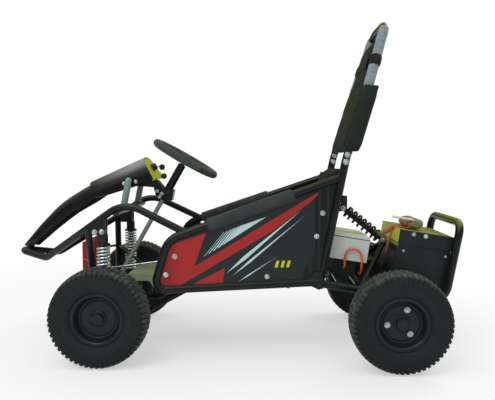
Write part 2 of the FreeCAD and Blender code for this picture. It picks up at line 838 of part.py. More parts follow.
column = math.radians(size("column_angle"))
column_line = Vector(math.cos(column), 0, math.sin(column))
hub = Vector(front_axle + size("wheel_hub_lag"), 0, size("wheel_hub_height"))
hub_low = hub - column_line * size("steering_hub_drop")
shaft_foot = hub_low - column_line * size("shaft_length")
shaft_room = bar(shaft_foot, hub_low, size("shaft_radius") + gap)
front_subframe = trimmed(fuse(subframe), both_rails + members + [shaft_room])
piece("front_subframe", front_subframe)

# Red guard plate ahead of the posts, with folded edges and an arm back to each post
guard_x = front_axle - size("guard_reach")
half_guard = size("guard_half_width")
guard = [block(Vector(guard_x, -half_guard, size("guard_bottom_height")),
               Vector(guard_x + sheet_metal, half_guard, size("guard_top_height")))]
for y in (-half_guard, half_guard - sheet_metal):
    guard.append(block(Vector(guard_x, y, size("guard_bottom_height")),
                       Vector(guard_x + size("guard_flange"), y + sheet_metal, size("guard_top_height"))))
rise = size("guard_top_height") - size("guard_arm_drop")
post_share = (rise - subframe_z) / (size("shoulder_height") - subframe_z)
post_x = foot_x + post_share * (front_axle - size("shoulder_reach") - foot_x)
post_y = half_foot + post_share * (half_shoulder - half_foot)
for side in (LEFT, RIGHT):
    guard.append(bar(Vector(guard_x + sheet_metal, side * (half_guard - sheet_metal), rise),
                     Vector(post_x, side * post_y, rise), size("guard_arm_radius")))
piece("front_guard", trimmed(fuse(guard), [front_subframe]))

# Floor pan on the cross members, narrowed ahead of the risers to clear the steered wheels
toe_front = front_axle + size("toe_front_lag")
toe_rear = front_axle + size("toe_lag")
floor_rear = front_axle + size("seat_rear_lag")
half_toe = half_track - size("toe_inset")
outline = [Vector(toe_front, LEFT * half_toe, floor_z), Vector(toe_rear, LEFT * half_toe, floor_z),
           side_point(riser_foot, floor_z, LEFT), side_point(floor_rear, floor_z, LEFT),
           side_point(floor_rear, floor_z, RIGHT), side_point(riser_foot, floor_z, RIGHT),
           Vector(toe_rear, RIGHT * half_toe, floor_z), Vector(toe_front, RIGHT * half_toe, floor_z)]
floor_pan = trimmed(prism(outline, Vector(0, 0, size("floor_thickness"))), both_frames + both_legs)
piece("floor_pan", floor_pan)

# Pedals on the floor pan, and the rod that runs back from the brake pedal to a lever on the front cross
# member
floor_top = floor_z + size("floor_thickness")
pedal_x = front_axle - size("pedal_reach")
pedal_foot_x = toe_front + size("pedal_arm_radius") * 2
half_pedals = half_track - size("pedal_inset")


def pedal_shape(side):
    y = side * half_pedals
    foot = Vector(pedal_foot_x, y, floor_top)
    head = Vector(pedal_x, y, size("pedal_height"))
    lean = unit(head - foot)
    width = Vector(0, size("pedal_width"), 0)
    base = head - width / 2 - lean * (size("pedal_length") * 0.3)
    pad = prism([base, base + width, base + width + lean * size("pedal_length"),
                 base + lean * size("pedal_length")], lean.cross(Vector(0, 1, 0)) * -plate)
    block_foot = block(foot - Vector(size("pedal_arm_radius") * 1.5, size("pedal_arm_radius") * 2, 0),
                       foot + Vector(size("pedal_arm_radius") * 1.5, size("pedal_arm_radius") * 2, plate))
    return trimmed(fuse([bar(foot, head, size("pedal_arm_radius")), pad, block_foot]), [floor_pan])


pedal_shapes = both_sides("pedals", pedal_shape)
lever_x = front_axle + size("front_member_lag")
lever_y = LEFT * half_pedals
lever_top = Vector(lever_x, lever_y, size("brake_lever_height"))
rod_front = Vector(pedal_x + plate, lever_y, size("pedal_height"))
brake_lever = block(Vector(lever_x - post_radius, lever_y - plate / 2, floor_top),
                    Vector(lever_x + post_radius / 2, lever_y + plate / 2,
                           size("brake_lever_height") + plate))
piece("brake_rod", trimmed(fuse([bar(rod_front, lever_top, size("brake_rod_radius")), brake_lever]),
                           [pedal_shapes[LEFT]]))

# Side panels fill the side frames; arm rests sleeve the bars
rest_start = front_axle + size("rest_start_lag")
rest_end = front_axle + size("rest_end_lag")


def bar_point(x, side):
    """A point of the arm bar's centre line."""
    share = (x - riser_top) / (bar_end - riser_top)
    return side_point(x, size("riser_top_height") + share
                      * (size("bar_end_height") - size("riser_top_height")), side)


def rest_shape(side):
    shift = size("right_rest_shift") if side == RIGHT else 0
    start = rest_start - shift
    end = rest_end - shift
    sleeve = bar(bar_point(start, side), bar_point(end, side), size("rest_radius"))
    bore = bar(bar_point(start - overrun, side), bar_point(end + overrun, side), main_tube)
    return trimmed(sleeve, [bore, rail_shapes[side]])


def panel_shape(side):
    corners = [side_point(hoop_foot, size("rail_rear_height"), side),
               side_point(riser_foot, size("rail_height"), side),
               side_point(riser_top, size("riser_top_height"), side),
               side_point(bar_end, size("bar_end_height"), side)]
    panel = prism([corner - Vector(0, sheet_metal / 2, 0) for corner in corners], Vector(0, sheet_metal, 0))
    return trimmed(panel, [side_shapes[side], leg_shapes[side], rest_shapes[side]])


rest_shapes = both_sides("arm_rests", rest_shape)
panel_shapes = both_sides("side_panels", panel_shape)

# Seat: a cushion on the floor pan and a low back against the tabs of the hoop's legs
seat_front = front_axle + size("seat_front_lag")
seat_rear = front_axle + size("seat_rear_lag")
half_seat = size("seat_half_width")
seat_top = floor_top + size("seat_thickness")
seat_outline = [Vector(seat_front, -half_seat, floor_top), Vector(seat_front, -half_seat, seat_top * 0.97),
                Vector(seat_front + post_radius * 2, -half_seat, seat_top),
                Vector(seat_rear, -half_seat, seat_top),
                Vector(seat_rear, -half_seat, floor_top)]
piece("seat_cushion", prism(seat_outline, Vector(0, half_seat * 2, 0)))


def back_prism(low, high, half_width, front, depth, line):
    """A slab of the seat back between two heights, set ahead of a line that gives x at a height."""
    outline = [Vector(line(low) - front, -half_width, low),
               Vector(line(low) - front + depth, -half_width, low),
               Vector(line(high) - front + depth, -half_width, high),
               Vector(line(high) - front, -half_width, high)]
    return prism(outline, Vector(0, half_width * 2, 0))


back_low = back_prism(seat_top, size("back_step_height"), size("back_low_half_width"), size("back_low_front"),
                      size("back_low_depth"), leg_x)
low_brow = size("back_low_brow")
brow_start = Vector(leg_x(size("back_step_height")) - size("back_low_front"), 0, size("back_step_height"))
shaved = prism([brow_start - Vector(overrun, size("back_low_half_width") + overrun, low_brow),
                brow_start + Vector(low_brow / 4, -size("back_low_half_width") - overrun, -low_brow * 0.45),
                brow_start + Vector(low_brow * 0.9, -size("back_low_half_width") - overrun, overrun / 10),
                brow_start + Vector(-overrun, -size("back_low_half_width") - overrun, overrun)],
               Vector(0, (size("back_low_half_width") + overrun) * 2, 0))
piece("seat_back_lower", trimmed(back_low, both_legs + [shaved]))


# Upper back: a jacket round the hoop up to the shoulders, then a slimmer pad between sleeved tubes
def sleeve_shape(side):
    foot = hoop_point(hoop_height("sleeve_foot_share"), side)
    top = hoop_point(hoop_height("sleeve_top_share"), side)
    return trimmed(bar(foot, top, size("sleeve_radius")), [upper_hoop])


sleeve_shapes = both_sides("hoop_sleeves", sleeve_shape)
pad_low = hoop_height("jacket_top_share")
pad_high = hoop_height("headrest_top_share")
jacket = back_prism(size("back_high_foot_height"), pad_low, size("back_high_half_width"),
                    size("back_high_front"),
                    size("back_high_depth"), hoop_x)
pad_start = hoop_x(pad_low) - size("back_high_front")
pad_end = hoop_x(pad_high) - size("back_high_front")
headrest = prism([Vector(pad_start, LEFT * hoop_y(pad_low), pad_low),
                  Vector(pad_start, RIGHT * hoop_y(pad_low), pad_low),
                  Vector(pad_end, RIGHT * hoop_y(pad_high), pad_high),
                  Vector(pad_end, LEFT * hoop_y(pad_high), pad_high)],
                 Vector(size("headrest_depth"), 0, 0))
seat_back_upper = fuse([jacket, headrest])
piece("seat_back_upper",
      trimmed(seat_back_upper, [upper_hoop, sleeve_shapes[LEFT], sleeve_shapes[RIGHT]] + both_legs))

# Rear frame: one bent tube from the hinge back under the boxes and up round the bumper, with struts and
# cross bars
arm_slope = math.tan(math.radians(size("arm_pitch")))
half_rear = size("rear_frame_half_width")


def arm_z(x):
    return size("hoop_foot_height") - arm_slope * (x - hoop_foot)


rear_corner = rear_axle + size("rear_corner_lag")
bumper_x = rear_end - main_tube


def rear_run(side):
    y = side * half_rear
    return [Vector(hoop_foot, y, arm_z(hoop_foot)), Vector(rear_corner, y, arm_z(rear_corner)),
            Vector(bumper_x, y, size("bumper_height"))]


rear_radii = [size("rear_corner_bend"), size("bumper_corner_radius")]
rear_loop = bent_tube(rear_run(LEFT) + rear_run(RIGHT)[::-1], rear_radii + rear_radii[::-1], main_tube)
pitch = FreeCAD.Rotation(Vector(0, 1, 0), size("arm_pitch"))
along_arm = pitch.multVec(Vector(1, 0, 0))
up_arm = pitch.multVec(Vector(0, 0, 1))
tray = size("tray_bar_radius")


def tray_bar(x, corner):
    """A cross bar of the rear frame that touches a tilted underside."""
    middle = Vector(x, 0, floor_height(corner, x)) - up_arm * tray
    reach = Vector(0, half_rear, 0)
    return bar(middle - reach, middle + reach, tray)


lid_corner = Vector(rear_axle + size("rear_box_start"), 0, size("rear_lid_height"))
box_corner = lid_corner - up_arm * size("lid_height")
box_floor = box_corner - up_arm * size("rear_box_height")
pale_corner = Vector(rear_axle - size("pale_box_lead"), 0, size("pale_box_top_height"))
pale_floor = pale_corner - up_arm * size("pale_box_height")
lead_in = (rear_axle - size("controller_lead") - pale_floor.x) / along_arm.x
controller_corner = pale_floor + along_arm * lead_in
controller_floor = controller_corner - up_arm * size("controller_height")


def floor_height(corner, x):
    """Height of a tilted underside at a place along the buggy."""
    return corner.z - arm_slope * (x - corner.x)


bar_places = [(rear_axle - size("front_tray_lead"), controller_floor),
              (rear_axle - size("middle_tray_lead"), controller_floor),
              (rear_axle + size("box_tray_lag"), box_floor),
              (rear_axle + size("box_tray_lag") + size("box_tray_spacing"), box_floor)]
rear_solids = [rear_loop]
rear_solids += [tray_bar(x, corner) for x, corner in bar_places]
motor_x = rear_axle - size("motor_lead")
motor_floor = size("motor_height") - size("motor_radius")
half_plate = size("motor_plate_width") / 2
rear_solids.append(block(Vector(motor_x - half_plate, LEFT * half_rear, motor_floor - plate),
                         Vector(motor_x + half_plate, RIGHT * half_rear, motor_floor)))
for side in (LEFT, RIGHT):
    root_x = rear_axle - size("strut_foot_lead")
    lug_y = sorted((side * (half_eye + gap), side * (half_eye + gap + plate)))[0]
    rear_solids.append(bar(Vector(root_x, side * half_rear, arm_z(root_x)),
                           Vector(rear_foot.x, side * (half_eye + gap + size("strut_radius")),
                                  rear_foot.z - eye_radius), size("strut_radius")))
    rear_solids.append(block(rear_foot - Vector(eye_radius, -lug_y, eye_radius * 2),
                             rear_foot + Vector(eye_radius, lug_y + plate, eye_radius)))
rear_frame = trimmed(fuse(rear_solids), both_legs + [hinge] + both_frames)
piece("rear_frame", rear_frame)


# Boxes carried by the rear frame, tilted with its arms; each corner given is the top of the front face
def tilted_box(name, corner, length, height, half_width):
    body = doc.addObject("Part::Box", name)
    body.setExpression("Length", length)
    body.setExpression("Width", "2 * (" + half_width + ")")
    body.setExpression("Height", height)
    doc.recompute()
    start = corner - up_arm * body.Height.Value - Vector(0, body.Width.Value / 2, 0)
    body.Placement = FreeCAD.Placement(start, pitch)
    return publish(name, body)


tilted_box("rear_box", box_corner, "Sizes.rear_box_length", "Sizes.rear_box_height",
           "Sizes.rear_box_half_width")
tilted_box("box_lid", lid_corner - along_arm * size("lid_overhang"),
           "Sizes.rear_box_length + 2 * Sizes.lid_overhang",
           "Sizes.lid_height", "Sizes.rear_box_half_width + Sizes.lid_overhang")
tilted_box("pale_box", pale_corner, "Sizes.pale_box_length", "Sizes.pale_box_height",
           "Sizes.pale_box_half_width")
tilted_box("controller", controller_corner, "Sizes.controller_length", "Sizes.controller_height",
           "Sizes.controller_half_width")

# Motor on its plate, the power cable from the controller, and the rolled bag strapped to the lid
half_motor = size("motor_length") / 2
motor_centre = Vector(motor_x, 0, size("motor_height"))
motor_room = Vector(0, half_motor, 0)
motor = bar(motor_centre - motor_room, motor_centre + motor_room, size("motor_radius"))
piece("motor", trimmed(motor, [rear_frame]))
cable_x = controller_corner.x + size("controller_length") * 0.45
cable_z = controller_floor.z + size("controller_height") * 0.4
cable_out = LEFT * size("cable_half_width")
cable_rear = motor_x - size("motor_radius") * 0.85
cable_points = [Vector(cable_x, LEFT * size("controller_half_width"), cable_z),
                Vector(cable_x, cable_out, cable_z),
                Vector(cable_x, cable_out, size("cable_top_height")),
                Vector(cable_x + size("cable_span"), cable_out, size("cable_top_height")),
                Vector(cable_rear, cable_out, size("motor_height")),
                Vector(cable_rear, -half_motor, size("motor_height"))]
cable_bend = size("cable_radius") * 3
piece("power_cable", bent_tube(cable_points, [cable_bend, cable_bend * 1.6, cable_bend * 1.6, cable_bend],
                               size("cable_radius")))
roll_middle = lid_corner + along_arm * size("roll_lag") + up_arm * size("roll_radius")
half_roll = Vector(0, size("roll_length") / 2, 0)
piece("tool_roll", bar(roll_middle - half_roll, roll_middle + half_roll, size("roll_radius")))

# Rear axle in two hanging bearings, with the sprocket and the brake disc on it
axle_end = size("rear_track") / 2 + size("rim_width") / 2 - size("disc_inset")
axle_middle = Vector(rear_axle, 0, axle_height)
across = Vector(0, 1, 0)
piece("rear_axle",
      bar(axle_middle - across * axle_end, axle_middle + across * axle_end, size("rear_axle_radius")))
sprocket = ring(axle_middle + across * size("sprocket_side"), across, size("sprocket_radius"),
                size("rear_axle_radius"), size("sprocket_thickness"))
brake_disc = ring(axle_middle - across * size("sprocket_side"), across, size("brake_disc_radius"),
                  size("rear_axle_radius"), size("brake_disc_thickness"))
piece("axle_discs", Part.makeCompound([sprocket, brake_disc]))


def bearing_shape(side):
    centre = Vector(rear_axle, side * half_rear, axle_height)
    half_width = Vector(0, size("bearing_width") / 2, 0)
    radius = size("bearing_radius")
    housing = bar(centre - half_width, centre + half_width, radius)
    web = block(centre - half_width - Vector(radius, 0, 0),
                centre + half_width + Vector(radius, 0, radius + main_tube))
    axle_room = bar(centre - half_width * 2, centre + half_width * 2, size("rear_axle_radius") + gap)
    return trimmed(fuse([housing, web]), [rear_frame, axle_room])


both_sides("axle_bearings", bearing_shape)

# Front suspension arms: two tubes from bushes on the keel to a forked bracket that holds the kingpin
kingpin_y = half_track - size("kingpin_inset")
half_knuckle = size("knuckle_height") / 2
fork_y = kingpin_y - size("knuckle_radius") - sheet_metal
low_ear = axle_height - half_knuckle - gap
high_ear = axle_height + half_knuckle + gap


def side_block(low_x, high_x, low_y, high_y, low_z, high_z, side):
    """A block ahead or astern of the front axle, on one side of the buggy."""
    ys = sorted((side * low_y, side * high_y))
    return block(Vector(front_axle + low_x, ys[0], low_z), Vector(front_axle + high_x, ys[1], high_z))


def by_axle(x, y, z, side):
    return Vector(front_axle + x, side * y, z)


def front_arm_shape(side):
    bush_y = size("keel_half_width") + post_radius + size("bush_radius") - overrun / 3
    shock_x = -size("shock_reach")
    lug_in = half_shock - half_eye - gap
    lug_out = half_shock + half_eye + gap
    limb_top = subframe_z + size("arm_tube_radius")
    parts = [side_block(-half_ear, half_ear, fork_y - plate, fork_y, low_ear - plate, high_ear + plate, side),
             side_block(-half_ear, half_ear, fork_y, kingpin_y + half_ear / 2, low_ear - plate, low_ear,
                        side),
             side_block(-half_ear, half_ear, fork_y, kingpin_y + half_ear / 2, high_ear, high_ear + plate,
                        side),
             bar(by_axle(0, kingpin_y, low_ear - plate * 2, side),
                 by_axle(0, kingpin_y, high_ear + plate * 2, side),
                 size("kingpin_radius")),
             side_block(shock_x - eye_radius, half_ear, lug_in - sheet_metal, fork_y, limb_top - sheet_metal,
                        limb_top, side)]
    for low_y in (lug_in - sheet_metal, lug_out):
        parts.append(side_block(shock_x - eye_radius, shock_x + eye_radius, low_y, low_y + sheet_metal,
                                limb_top - sheet_metal, size("shock_foot_height") + eye_radius, side))
    for lean in (-1, 1):
        bush = by_axle(lean * size("arm_spread"), bush_y, subframe_z, side)
        half_bush = Vector(size("bush_length") / 2, 0, 0)
        parts.append(bar(bush - half_bush, bush + half_bush, size("bush_radius")))
        parts.append(bar(bush, by_axle(lean * half_ear / 2, fork_y - plate / 2, subframe_z, side),
                         size("arm_tube_radius")))
    return trimmed(fuse(parts), [front_subframe])


arm_shapes = both_sides("front_arms", front_arm_shape)

# Steering knuckles: a tube on the kingpin, the wheel's spindle outward and the steering lever rearward
lever_z = axle_height + size("steer_arm_rise")
lever_tip_y = kingpin_y - size("steer_arm_inset")
spindle_end = half_track + size("rim_width") / 2 - size("disc_inset")
for place, side in SIDES:
    tip = by_axle(size("steer_arm_length"), lever_tip_y, lever_z, side)
    half_plate_up = Vector(0, 0, plate / 2)
    knuckle = fuse([
        bar(by_axle(0, kingpin_y, axle_height - half_knuckle, side),
            by_axle(0, kingpin_y, axle_height + half_knuckle, side), size("knuckle_radius")),
        bar(by_axle(0, kingpin_y, axle_height, side), by_axle(0, spindle_end, axle_height, side),
            size("spindle_radius")),
        side_block(0, size("steer_arm_length"), lever_tip_y, lever_tip_y + size("steer_arm_width"),
                   lever_z - plate / 2, lever_z + plate / 2, side),
        bar(tip - half_plate_up, tip + half_plate_up, size("tie_rod_end_radius"))])
    pin_room = bar(by_axle(0, kingpin_y, low_ear, side), by_axle(0, kingpin_y, high_ear, side),
                   size("kingpin_radius") + gap)
    piece("knuckle_" + place, trimmed(knuckle, [pin_room]))

# Front shocks between the arms and the rails, each with its coil spring
spring_outer = size("spring_radius") + size("spring_wire_radius")
for_eye = Vector(0, half_eye, 0)


spring_top = size("shock_top_height") - size("spring_top_drop")


def shock_point(height, side):
    return by_axle(-size("shock_reach"), half_shock, height, side)


def front_shock_shape(side):
    foot = shock_point(size("shock_foot_height"), side)
    top = shock_point(size("shock_top_height"), side)
    seat = shock_point(size("spring_foot_height"), side)
    cap = shock_point(spring_top, side)
    eye_room = Vector(0, 0, eye_radius + gap)
    return fuse([bar(foot - for_eye, foot + for_eye, eye_radius),
                 bar(top - for_eye, top + for_eye, eye_radius),
                 bar(foot, top, size("shock_neck_radius")),
                 bar(foot + eye_room, top - eye_room, size("damper_radius")),
                 bar(seat - Vector(0, 0, plate), seat, spring_outer),
                 bar(cap, top - Vector(0, 0, eye_radius + gap), size("shock_cap_radius")),
                 bar(cap - Vector(0, 0, sheet_metal), cap + Vector(0, 0, sheet_metal), spring_outer)])


def front_spring_shape(side):
    rise = Vector(0, 0, size("spring_wire_radius") + gap)
    seat = shock_point(size("spring_foot_height"), side) + rise
    cap = shock_point(spring_top - sheet_metal, side) - rise
    return coil(seat, cap, size("spring_radius"), size("spring_wire_radius"), size("spring_turns"))


both_sides("front_shocks", front_shock_shape)
both_sides("front_springs", front_spring_shape)

# Rear shock between the hoop's cross tube and the rear frame's struts
shock_line = unit(rear_top - rear_foot)
eye_run = shock_line * (eye_radius * 1.7 + plate)
cap_start = rear_top - eye_run
seat_start = rear_foot + eye_run
rear_outer = size("rear_spring_radius") + size("rear_spring_wire_radius")
piece("rear_shock", fuse([bar(rear_top - for_eye, rear_top + for_eye, eye_radius),
                          bar(rear_foot - for_eye, rear_foot + for_eye, eye_radius),
                          bar(rear_foot, rear_top, size("shock_neck_radius")),
                          bar(seat_start, cap_start, size("damper_radius")),
                          bar(seat_start - shock_line * plate, seat_start, rear_outer),
                          bar(cap_start, cap_start + shock_line * plate, rear_outer)]))
wire_room = shock_line * (size("rear_spring_wire_radius") + gap)
piece("rear_spring", coil(seat_start + wire_room, cap_start - wire_room, size("rear_spring_radius"),
                          size("rear_spring_wire_radius"), size("rear_spring_turns")))

# Steering: the wheel's grip, and its spokes, hub, shaft and lever, which turn together
across_column = Vector(math.sin(column), 0, -math.cos(column))
grip = doc.addObject("Part::Torus", "steering_grip")
grip.setExpression("Radius1", "Sizes.steering_wheel_radius - Sizes.steering_grip_radius")
grip.setExpression("Radius2", "Sizes.steering_grip_radius")
grip.Placement = FreeCAD.Placement(hub, FreeCAD.Rotation(Vector(0, 0, 1), column_line))
publish("steering_grip", grip)
doc.recompute()
turning = [bar(hub_low, hub, size("steering_hub_radius")), bar(shaft_foot, hub_low, size("shaft_radius"))]
for number in range(3):
    angle = math.radians(180 + number * 120)
    out = across_column * math.cos(angle) + across * math.sin(angle)
    half_spoke = column_line.cross(out) * (size("spoke_width") / 2)
    rim_end = hub + out * (size("steering_wheel_radius") - size("steering_grip_radius"))
    inner_end = hub - column_line * (size("steering_hub_drop") / 2)
    turning.append(prism([inner_end - half_spoke, inner_end + half_spoke, rim_end + half_spoke,
                          rim_end - half_spoke], column_line * -sheet_metal))
pitman_pin = shaft_foot + across_column * size("pitman_length")
lever_half = Vector(0, size("tie_rod_end_radius"), 0)
turning += [bar(shaft_foot, shaft_foot + column_line * plate, size("tie_rod_end_radius") * 1.4),
            bar(pitman_pin, pitman_pin + column_line * plate, size("tie_rod_end_radius")),
            prism([shaft_foot + lever_half, pitman_pin + lever_half, pitman_pin - lever_half,
                   shaft_foot - lever_half],
                  column_line * plate)]
piece("steering_column", trimmed(fuse(turning), [grip.Shape]))

# Tie rods from beside the steering lever's pin to the knuckles' levers
for place, side in SIDES:
    inner = pitman_pin + Vector(0, side * size("tie_rod_end_radius") * 1.5, -plate)
    lever_top = lever_z + plate / 2 + gap
    rod_radius = size("tie_rod_radius")
    outer = by_axle(size("steer_arm_length"), lever_tip_y, lever_top + rod_radius * 1.4, side)
    rod = fuse([bar(inner, outer, rod_radius),
                bar(Vector(outer.x, outer.y, lever_top), outer + Vector(0, 0, rod_radius),
                    size("tie_rod_end_radius"))])
    piece("tie_rod_" + place, rod)


# Dash frame: a cross tube between the rails' peaks, two posts beside the hood and a bar under it
dash_foot = Vector(front_axle + size("dash_post_lag"), 0, size("dash_cross_height"))
dash_top = Vector(front_axle + size("dash_post_top_lag"), 0, size("dash_post_top_height") - post_radius)
hood_share = (dash_top.x - front_axle + size("hood_front_reach")) / (size("hood_rear_lag")
                                                                     + size("hood_front_reach"))
hood_floor = size("hood_front_floor") + hood_share * (size("hood_rear_floor") - size("hood_front_floor"))
dash_bar_z = hood_floor + size("dash_bar_rise")
post_way = (dash_bar_z - dash_foot.z) / (dash_top.z - dash_foot.z)
dash_bar = dash_foot + (dash_top - dash_foot) * post_way


def dash_frame_shape():
    half_post = Vector(0, size("dash_post_half_width"), 0)
    half_cross = Vector(0, half_peak, 0)
    parts = [bar(dash_foot - half_cross, dash_foot + half_cross, post_radius),
             bar(dash_bar - half_post, dash_bar + half_post, size("dash_bar_radius"))]
    for side in (LEFT, RIGHT):
        top = dash_top + half_post * side
        parts.append(bar(dash_foot + half_post * side, top, post_radius))
        parts.append(Part.makeSphere(post_radius, top))
    return trimmed(fuse(parts), both_rails)


dash_frame = dash_frame_shape()
piece("dash_frame", dash_frame)

# Column bracket: a channel from the dash bar down to the column, and the short tube the shaft turns in
tube_top = hub_low - column_line * size("column_tube_start")
tube_foot = tube_top - column_line * size("column_tube_length")
half_bracket = size("column_tube_radius") + plate
bar_middle = dash_bar - Vector(0, half_bracket, 0)
tube_low = Vector(tube_foot.x, -half_bracket, tube_foot.z)
half_depth = size("column_tube_radius")
bracket_outline = [bar_middle + Vector(0, 0, half_depth * 0.6),
                   bar_middle + Vector(half_depth * 6, 0, half_depth * 0.8),
                   tube_low + Vector(half_depth * 0.4, 0, half_depth * 1.8),
                   tube_low + Vector(half_depth * 2.6, 0, half_depth * 1.7),
                   tube_low + Vector(half_depth * 2.1, 0, -half_depth),
                   tube_low - Vector(half_depth * 0.2, 0, half_depth),
                   tube_low + Vector(-half_depth * 2, 0, half_depth * 0.2),
                   bar_middle + Vector(half_depth * 5, 0, -half_depth),
                   bar_middle - Vector(0, 0, half_depth * 0.6)]
bracket = prism(bracket_outline, Vector(0, half_bracket * 2, 0))
column_room = bar(shaft_foot, hub_low, size("shaft_radius") + gap)
piece("column_bracket", trimmed(fuse([bracket, bar(tube_foot, tube_top, size("column_tube_radius"))]),
                                [column_room, dash_frame]))

# Fairing: an arched hood and a curved beak, both open underneath; the dash closes the hood's rear end
wall = size("fairing_wall")


def arch(station, inset, drop):
    """An arch across the buggy: two short sides and a round top, leaning forward from its foot's middle."""
    place, half_width, height, lean_angle, brow_share = station
    half = half_width - inset
    brow = height * brow_share - inset / 2
    lean = FreeCAD.Rotation(Vector(0, 1, 0), -lean_angle)
    corners = [Vector(0, -half, -drop), Vector(0, -half, brow), Vector(0, 0, height - inset),
               Vector(0, half, brow),
               Vector(0, half, -drop)]
    corners = [place + lean.multVec(corner) for corner in corners]
    return Part.Wire([Part.LineSegment(corners[0], corners[1]).toShape(),
                      Part.Arc(corners[1], corners[2], corners[3]).toShape(),
                      Part.LineSegment(corners[3], corners[4]).toShape(),
                      Part.LineSegment(corners[4], corners[0]).toShape()])


def arch_shell(stations, ruled):
    outer = Part.makeLoft([arch(station, 0, 0) for station in stations], True, ruled)
    inner = Part.makeLoft([arch(station, wall, overrun) for station in stations], True, ruled)
    return outer.cut(inner)


hood_front = (Vector(front_axle - size("hood_front_reach"), 0, size("hood_front_floor")),
              size("hood_front_half_width"),
              size("hood_front_height"), size("hood_front_pitch"), size("hood_brow_share"))
hood_rear = (Vector(front_axle + size("hood_rear_lag"), 0, size("hood_rear_floor")),
             size("hood_rear_half_width"),
             size("hood_rear_height"), size("hood_rear_pitch"), size("hood_brow_share"))
front_lean = math.radians(size("hood_front_pitch"))
bulkhead = Part.Face(arch(hood_front, 0, 0)).extrude(Vector(math.cos(front_lean), 0,
                                                            math.sin(front_lean)) * wall)
hood = trimmed(fuse([arch_shell([hood_front, hood_rear], True), bulkhead]), [dash_frame])
piece("hood", hood)
dash_lean = math.radians(size("hood_rear_pitch"))
dash_normal = Vector(math.cos(dash_lean), 0, math.sin(dash_lean))
dash = Part.Face(arch(hood_rear, wall, 0)).extrude(dash_normal * -size("dash_thickness"))
lock_middle = hood_rear[0] + FreeCAD.Rotation(Vector(0, 1, 0), -size("hood_rear_pitch")).multVec(
    Vector(0, 0, size("hood_rear_height") / 2))
lock = bar(lock_middle, lock_middle + dash_normal * size("lock_length"), size("lock_radius"))
piece("dash_face", trimmed(fuse([dash, lock]), [hood]))

# The beak's stations from its tip back to the hood, where it ends a step lower
beak_stations = [(Vector(front_axle - size("beak_%s_reach" % name), 0, size("beak_%s_floor" % name)),
                  size("beak_%s_half_width" % name), size("beak_%s_height" % name),
                  size("beak_%s_pitch" % name),
                  size("beak_brow_share")) for name in ("tip", "lip", "low", "middle", "high")]
beak_stations.append((hood_front[0], hood_front[1] - size("beak_end_inset"),
                      hood_front[2] - size("beak_end_step"),
                      hood_front[3], size("beak_brow_share")))
beak = arch_shell(beak_stations, True)
piece("beak", trimmed(beak, [front_bumper]))

# Written out once every piece is sound
doc.recompute()
os.makedirs("parts", exist_ok=True)
for feature in doc.Objects:
    if "Invalid" in feature.State or "Error" in feature.State:
        raise RuntimeError("%s did not build: %s" % (feature.Label, feature.State))
for feature in nodes:
    shape = feature.Shape
    if shape.isNull() or not shape.isValid():
        raise RuntimeError("%s has no sound shape" % feature.Label)
    shape.exportStep(os.path.join("parts", feature.Label + ".step"))
box = Part.makeCompound([feature.Shape for feature in nodes]).BoundBox
print(len(nodes), "nodes; box", box)
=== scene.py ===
"""Looks and fine detail of a child-size electric dune buggy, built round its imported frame."""

import json
import logging
import math
from dataclasses import dataclass, field
from enum import Enum

import bmesh
import bpy
import numpy as np
from mathutils import Matrix, Vector

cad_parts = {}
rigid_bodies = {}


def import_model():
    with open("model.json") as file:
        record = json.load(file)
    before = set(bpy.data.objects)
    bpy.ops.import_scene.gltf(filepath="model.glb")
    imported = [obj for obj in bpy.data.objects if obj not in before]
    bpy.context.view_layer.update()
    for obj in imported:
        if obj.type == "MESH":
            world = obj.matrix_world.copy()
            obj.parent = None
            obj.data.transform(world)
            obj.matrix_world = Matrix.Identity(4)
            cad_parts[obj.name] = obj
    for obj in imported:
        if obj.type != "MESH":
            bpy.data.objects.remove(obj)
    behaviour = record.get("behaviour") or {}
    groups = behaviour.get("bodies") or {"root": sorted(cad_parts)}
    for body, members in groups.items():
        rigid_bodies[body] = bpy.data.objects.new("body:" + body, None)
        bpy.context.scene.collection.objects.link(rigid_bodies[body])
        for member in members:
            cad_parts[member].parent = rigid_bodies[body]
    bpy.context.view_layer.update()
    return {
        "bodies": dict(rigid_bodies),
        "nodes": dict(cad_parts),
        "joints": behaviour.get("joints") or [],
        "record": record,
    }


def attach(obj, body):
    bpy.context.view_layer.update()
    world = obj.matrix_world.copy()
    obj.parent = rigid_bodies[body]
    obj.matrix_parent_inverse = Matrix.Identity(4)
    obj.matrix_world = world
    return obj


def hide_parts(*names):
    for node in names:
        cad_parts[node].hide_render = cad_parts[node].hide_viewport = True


Colour = tuple[float, float, float]
Point = tuple[float, float, float]
Spot = tuple[float, float]
Border = tuple[Spot, Spot]
Profile = tuple[tuple[float, float], ...]
LOG = logging.getLogger("dune_buggy")

# Directions in the frame: the nose looks toward -x
AHEAD = (-1.0, 0.0, 0.0)
UP = (0.0, 0.0, 1.0)

# The ranges of a noise that are stretched to the whole: a narrow one for mottling, a wide one for gloss
MIDDLE = (0.35, 0.65)
WIDE = (0.3, 0.7)

# Points of a piece that are closer than this, in metres, become one
WELD = 1e-6

# The faces of a block whose foot's four corners come first and its top's after them
BOX_FACES = np.array([[0, 3, 2, 1], [4, 5, 6, 7], [0, 1, 5, 4], [1, 2, 6, 5], [2, 3, 7, 6], [3, 0, 4, 7]])


class Side(Enum):
    """Which side of the buggy a piece is on; the value is the sign of y."""

    LEFT = -1
    RIGHT = 1


class Edge(Enum):
    """How the two ends of a swept surface are closed."""

    OPEN = 0
    CAPPED = 1


# Shader trees


